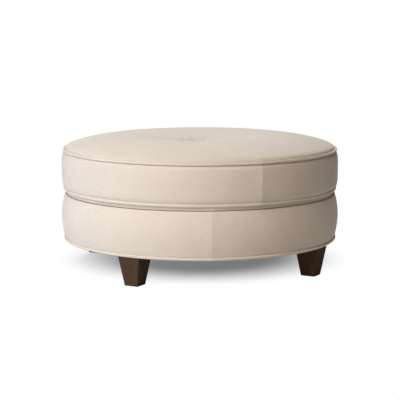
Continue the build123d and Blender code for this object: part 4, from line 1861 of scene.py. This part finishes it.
@dataclass
class Drum:
    """The stuffed drum: its base cover. Its radii and heights come from the frame.

    Attributes:
        crest: How far the cover stands out from the board wall where it swells most.
        edge: How far it does at its seams.
        lip: How far its lower margin does, under the wadding.
        shoulder: The radius of its rounded top edge.
        gap: The room between two layers.
        drop: How much lower than the frame's its top edge is drawn.
        low_drop: How far its lower edge is drawn down against the bottom welt.
        tones_and_painted_shade: The painted light and shade of its panels, lightest on the left, where the
            lamps fall.
    """

    crest: float = 17.7 * MM
    edge: float = 7.6 * MM
    lip: float = 1.7 * MM
    shoulder: float = 5.5 * MM
    gap: float = 0.3 * MM
    drop: float = 3.4 * MM
    low_drop: float = 0.6 * MM
    # Painted light: the left panel, which faces the lamps, lighter than the others
    tones_and_painted_shade: tuple[float, ...] = (1.035, 1.03, 1.05)

    def band(self) -> Band:
        """The base cover, between its two welts and round the board wall.

        Returns:
            The band.
        """
        low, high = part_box("base_cover")
        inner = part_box("drum_wall")[1].x + self.gap
        top = high.z - self.drop
        edge = inner + self.edge
        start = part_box("base_bottom_welt")[1].z + self.gap - self.low_drop
        end = top - self.shoulder
        centre = edge - self.shoulder
        turn = np.linspace(0, math.pi / 2, 7)[1:]
        shoulder = [(centre + self.shoulder * math.cos(a), end + self.shoulder * math.sin(a)) for a in turn]
        lip = inner + self.lip
        hidden = (*shoulder, (inner, top), (inner, low.z), (lip, low.z), (lip, start))
        return Band("base_band_cover", "base_cover", start, end, edge, edge, inner + self.crest,
                    power=2, root=1, hidden=hidden, joint=BASE_JOINT, tones_and_painted_shade=self.tones_and_painted_shade)


@dataclass
class Cushion:
    """The attached cushion: its band and crowned top. Their radii and heights come from the frame.

    Attributes:
        crest: How far the band stands out from the seat board where it swells most.
        edge: How far it does at its upper seam.
        low_edge: How far it does at its lower one.
        margin: How far its margin does that is drawn down over the board's edge.
        gap: The room between two layers.
        drop: How much lower than the frame's its top edge is drawn.
        rim_lift: How high the top's seam stands over its underside.
        twine_hole: The radius of the hole for the twine.
        tones_and_painted_shade: The painted light and shade of the band's panels, darker on the right, turned
            from the lamps.
    """

    crest: float = 21.9 * MM
    edge: float = 12.0 * MM
    low_edge: float = 14.6 * MM
    margin: float = 1.2 * MM
    gap: float = 0.3 * MM
    drop: float = 0.9 * MM
    rim_lift: float = 8.6 * MM
    twine_hole: float = 7 * MM
    # Painted shade: the right panel, turned from the lamps, darker than the others
    tones_and_painted_shade: tuple[float, ...] = (0.97, 1.0, 1.01)

    def band(self) -> Band:
        """The cushion's band, with the margin that is drawn down over the seat board's edge.

        Returns:
            The band.
        """
        low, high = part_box("cushion_band")
        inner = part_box("seat_board")[1].x + self.gap
        margin = inner + self.margin
        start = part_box("cushion_bottom_welt")[1].z + self.gap
        top = high.z - self.drop
        hidden = ((inner, top), (inner, low.z), (margin, low.z), (margin, start))
        return Band("cushion_band_cover", "cushion_band", start, top, inner + self.low_edge,
                    inner + self.edge, inner + self.crest, power=4, root=0.5, hidden=hidden,
                    joint=CUSHION_JOINT, tones_and_painted_shade=self.tones_and_painted_shade)

    def top(self) -> CrownedTop:
        """The crowned top, inside the top welt.

        Returns:
            The top.
        """
        low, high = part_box("cushion_top")
        return CrownedTop(rim_radius=high.x, rim_height=low.z + self.rim_lift, low=low.z,
                          hole_radius=self.twine_hole, joint=CUSHION_JOINT)


def dress_frame(finishes: Finishes) -> None:
    """Gives every CAD node the finish of its slot, also those that a new piece stands for.

    Args:
        finishes: The made materials.
    """
    for part in frame["record"]["subparts"]:
        node = frame["nodes"][part["node"]]
        finish = finishes.of_node(part["node"], part["material_slot"])
        node.data.materials.clear()
        node.data.materials.append(finish)
        log.info("%s: from the frame, in %s", node.name, finish.name)


def main() -> None:
    """Builds the studio and the dressed ottoman."""
    logging.basicConfig(level=logging.INFO, format="%(name)s: %(message)s")
    Studio().build()
    finishes = Finishes.make()
    bands = [Drum().band(), Cushion().band()]
    for band in bands:
        band.build(finishes)
    SeamStitches().build(bands, finishes)
    Cushion().top().build(finishes)
    TuftButton().build(finishes)
    FoamCore().build(finishes)
    Welts().build(finishes)
    Underside().build(finishes)
    dress_frame(finishes)


if __name__ == "__main__":
    main()
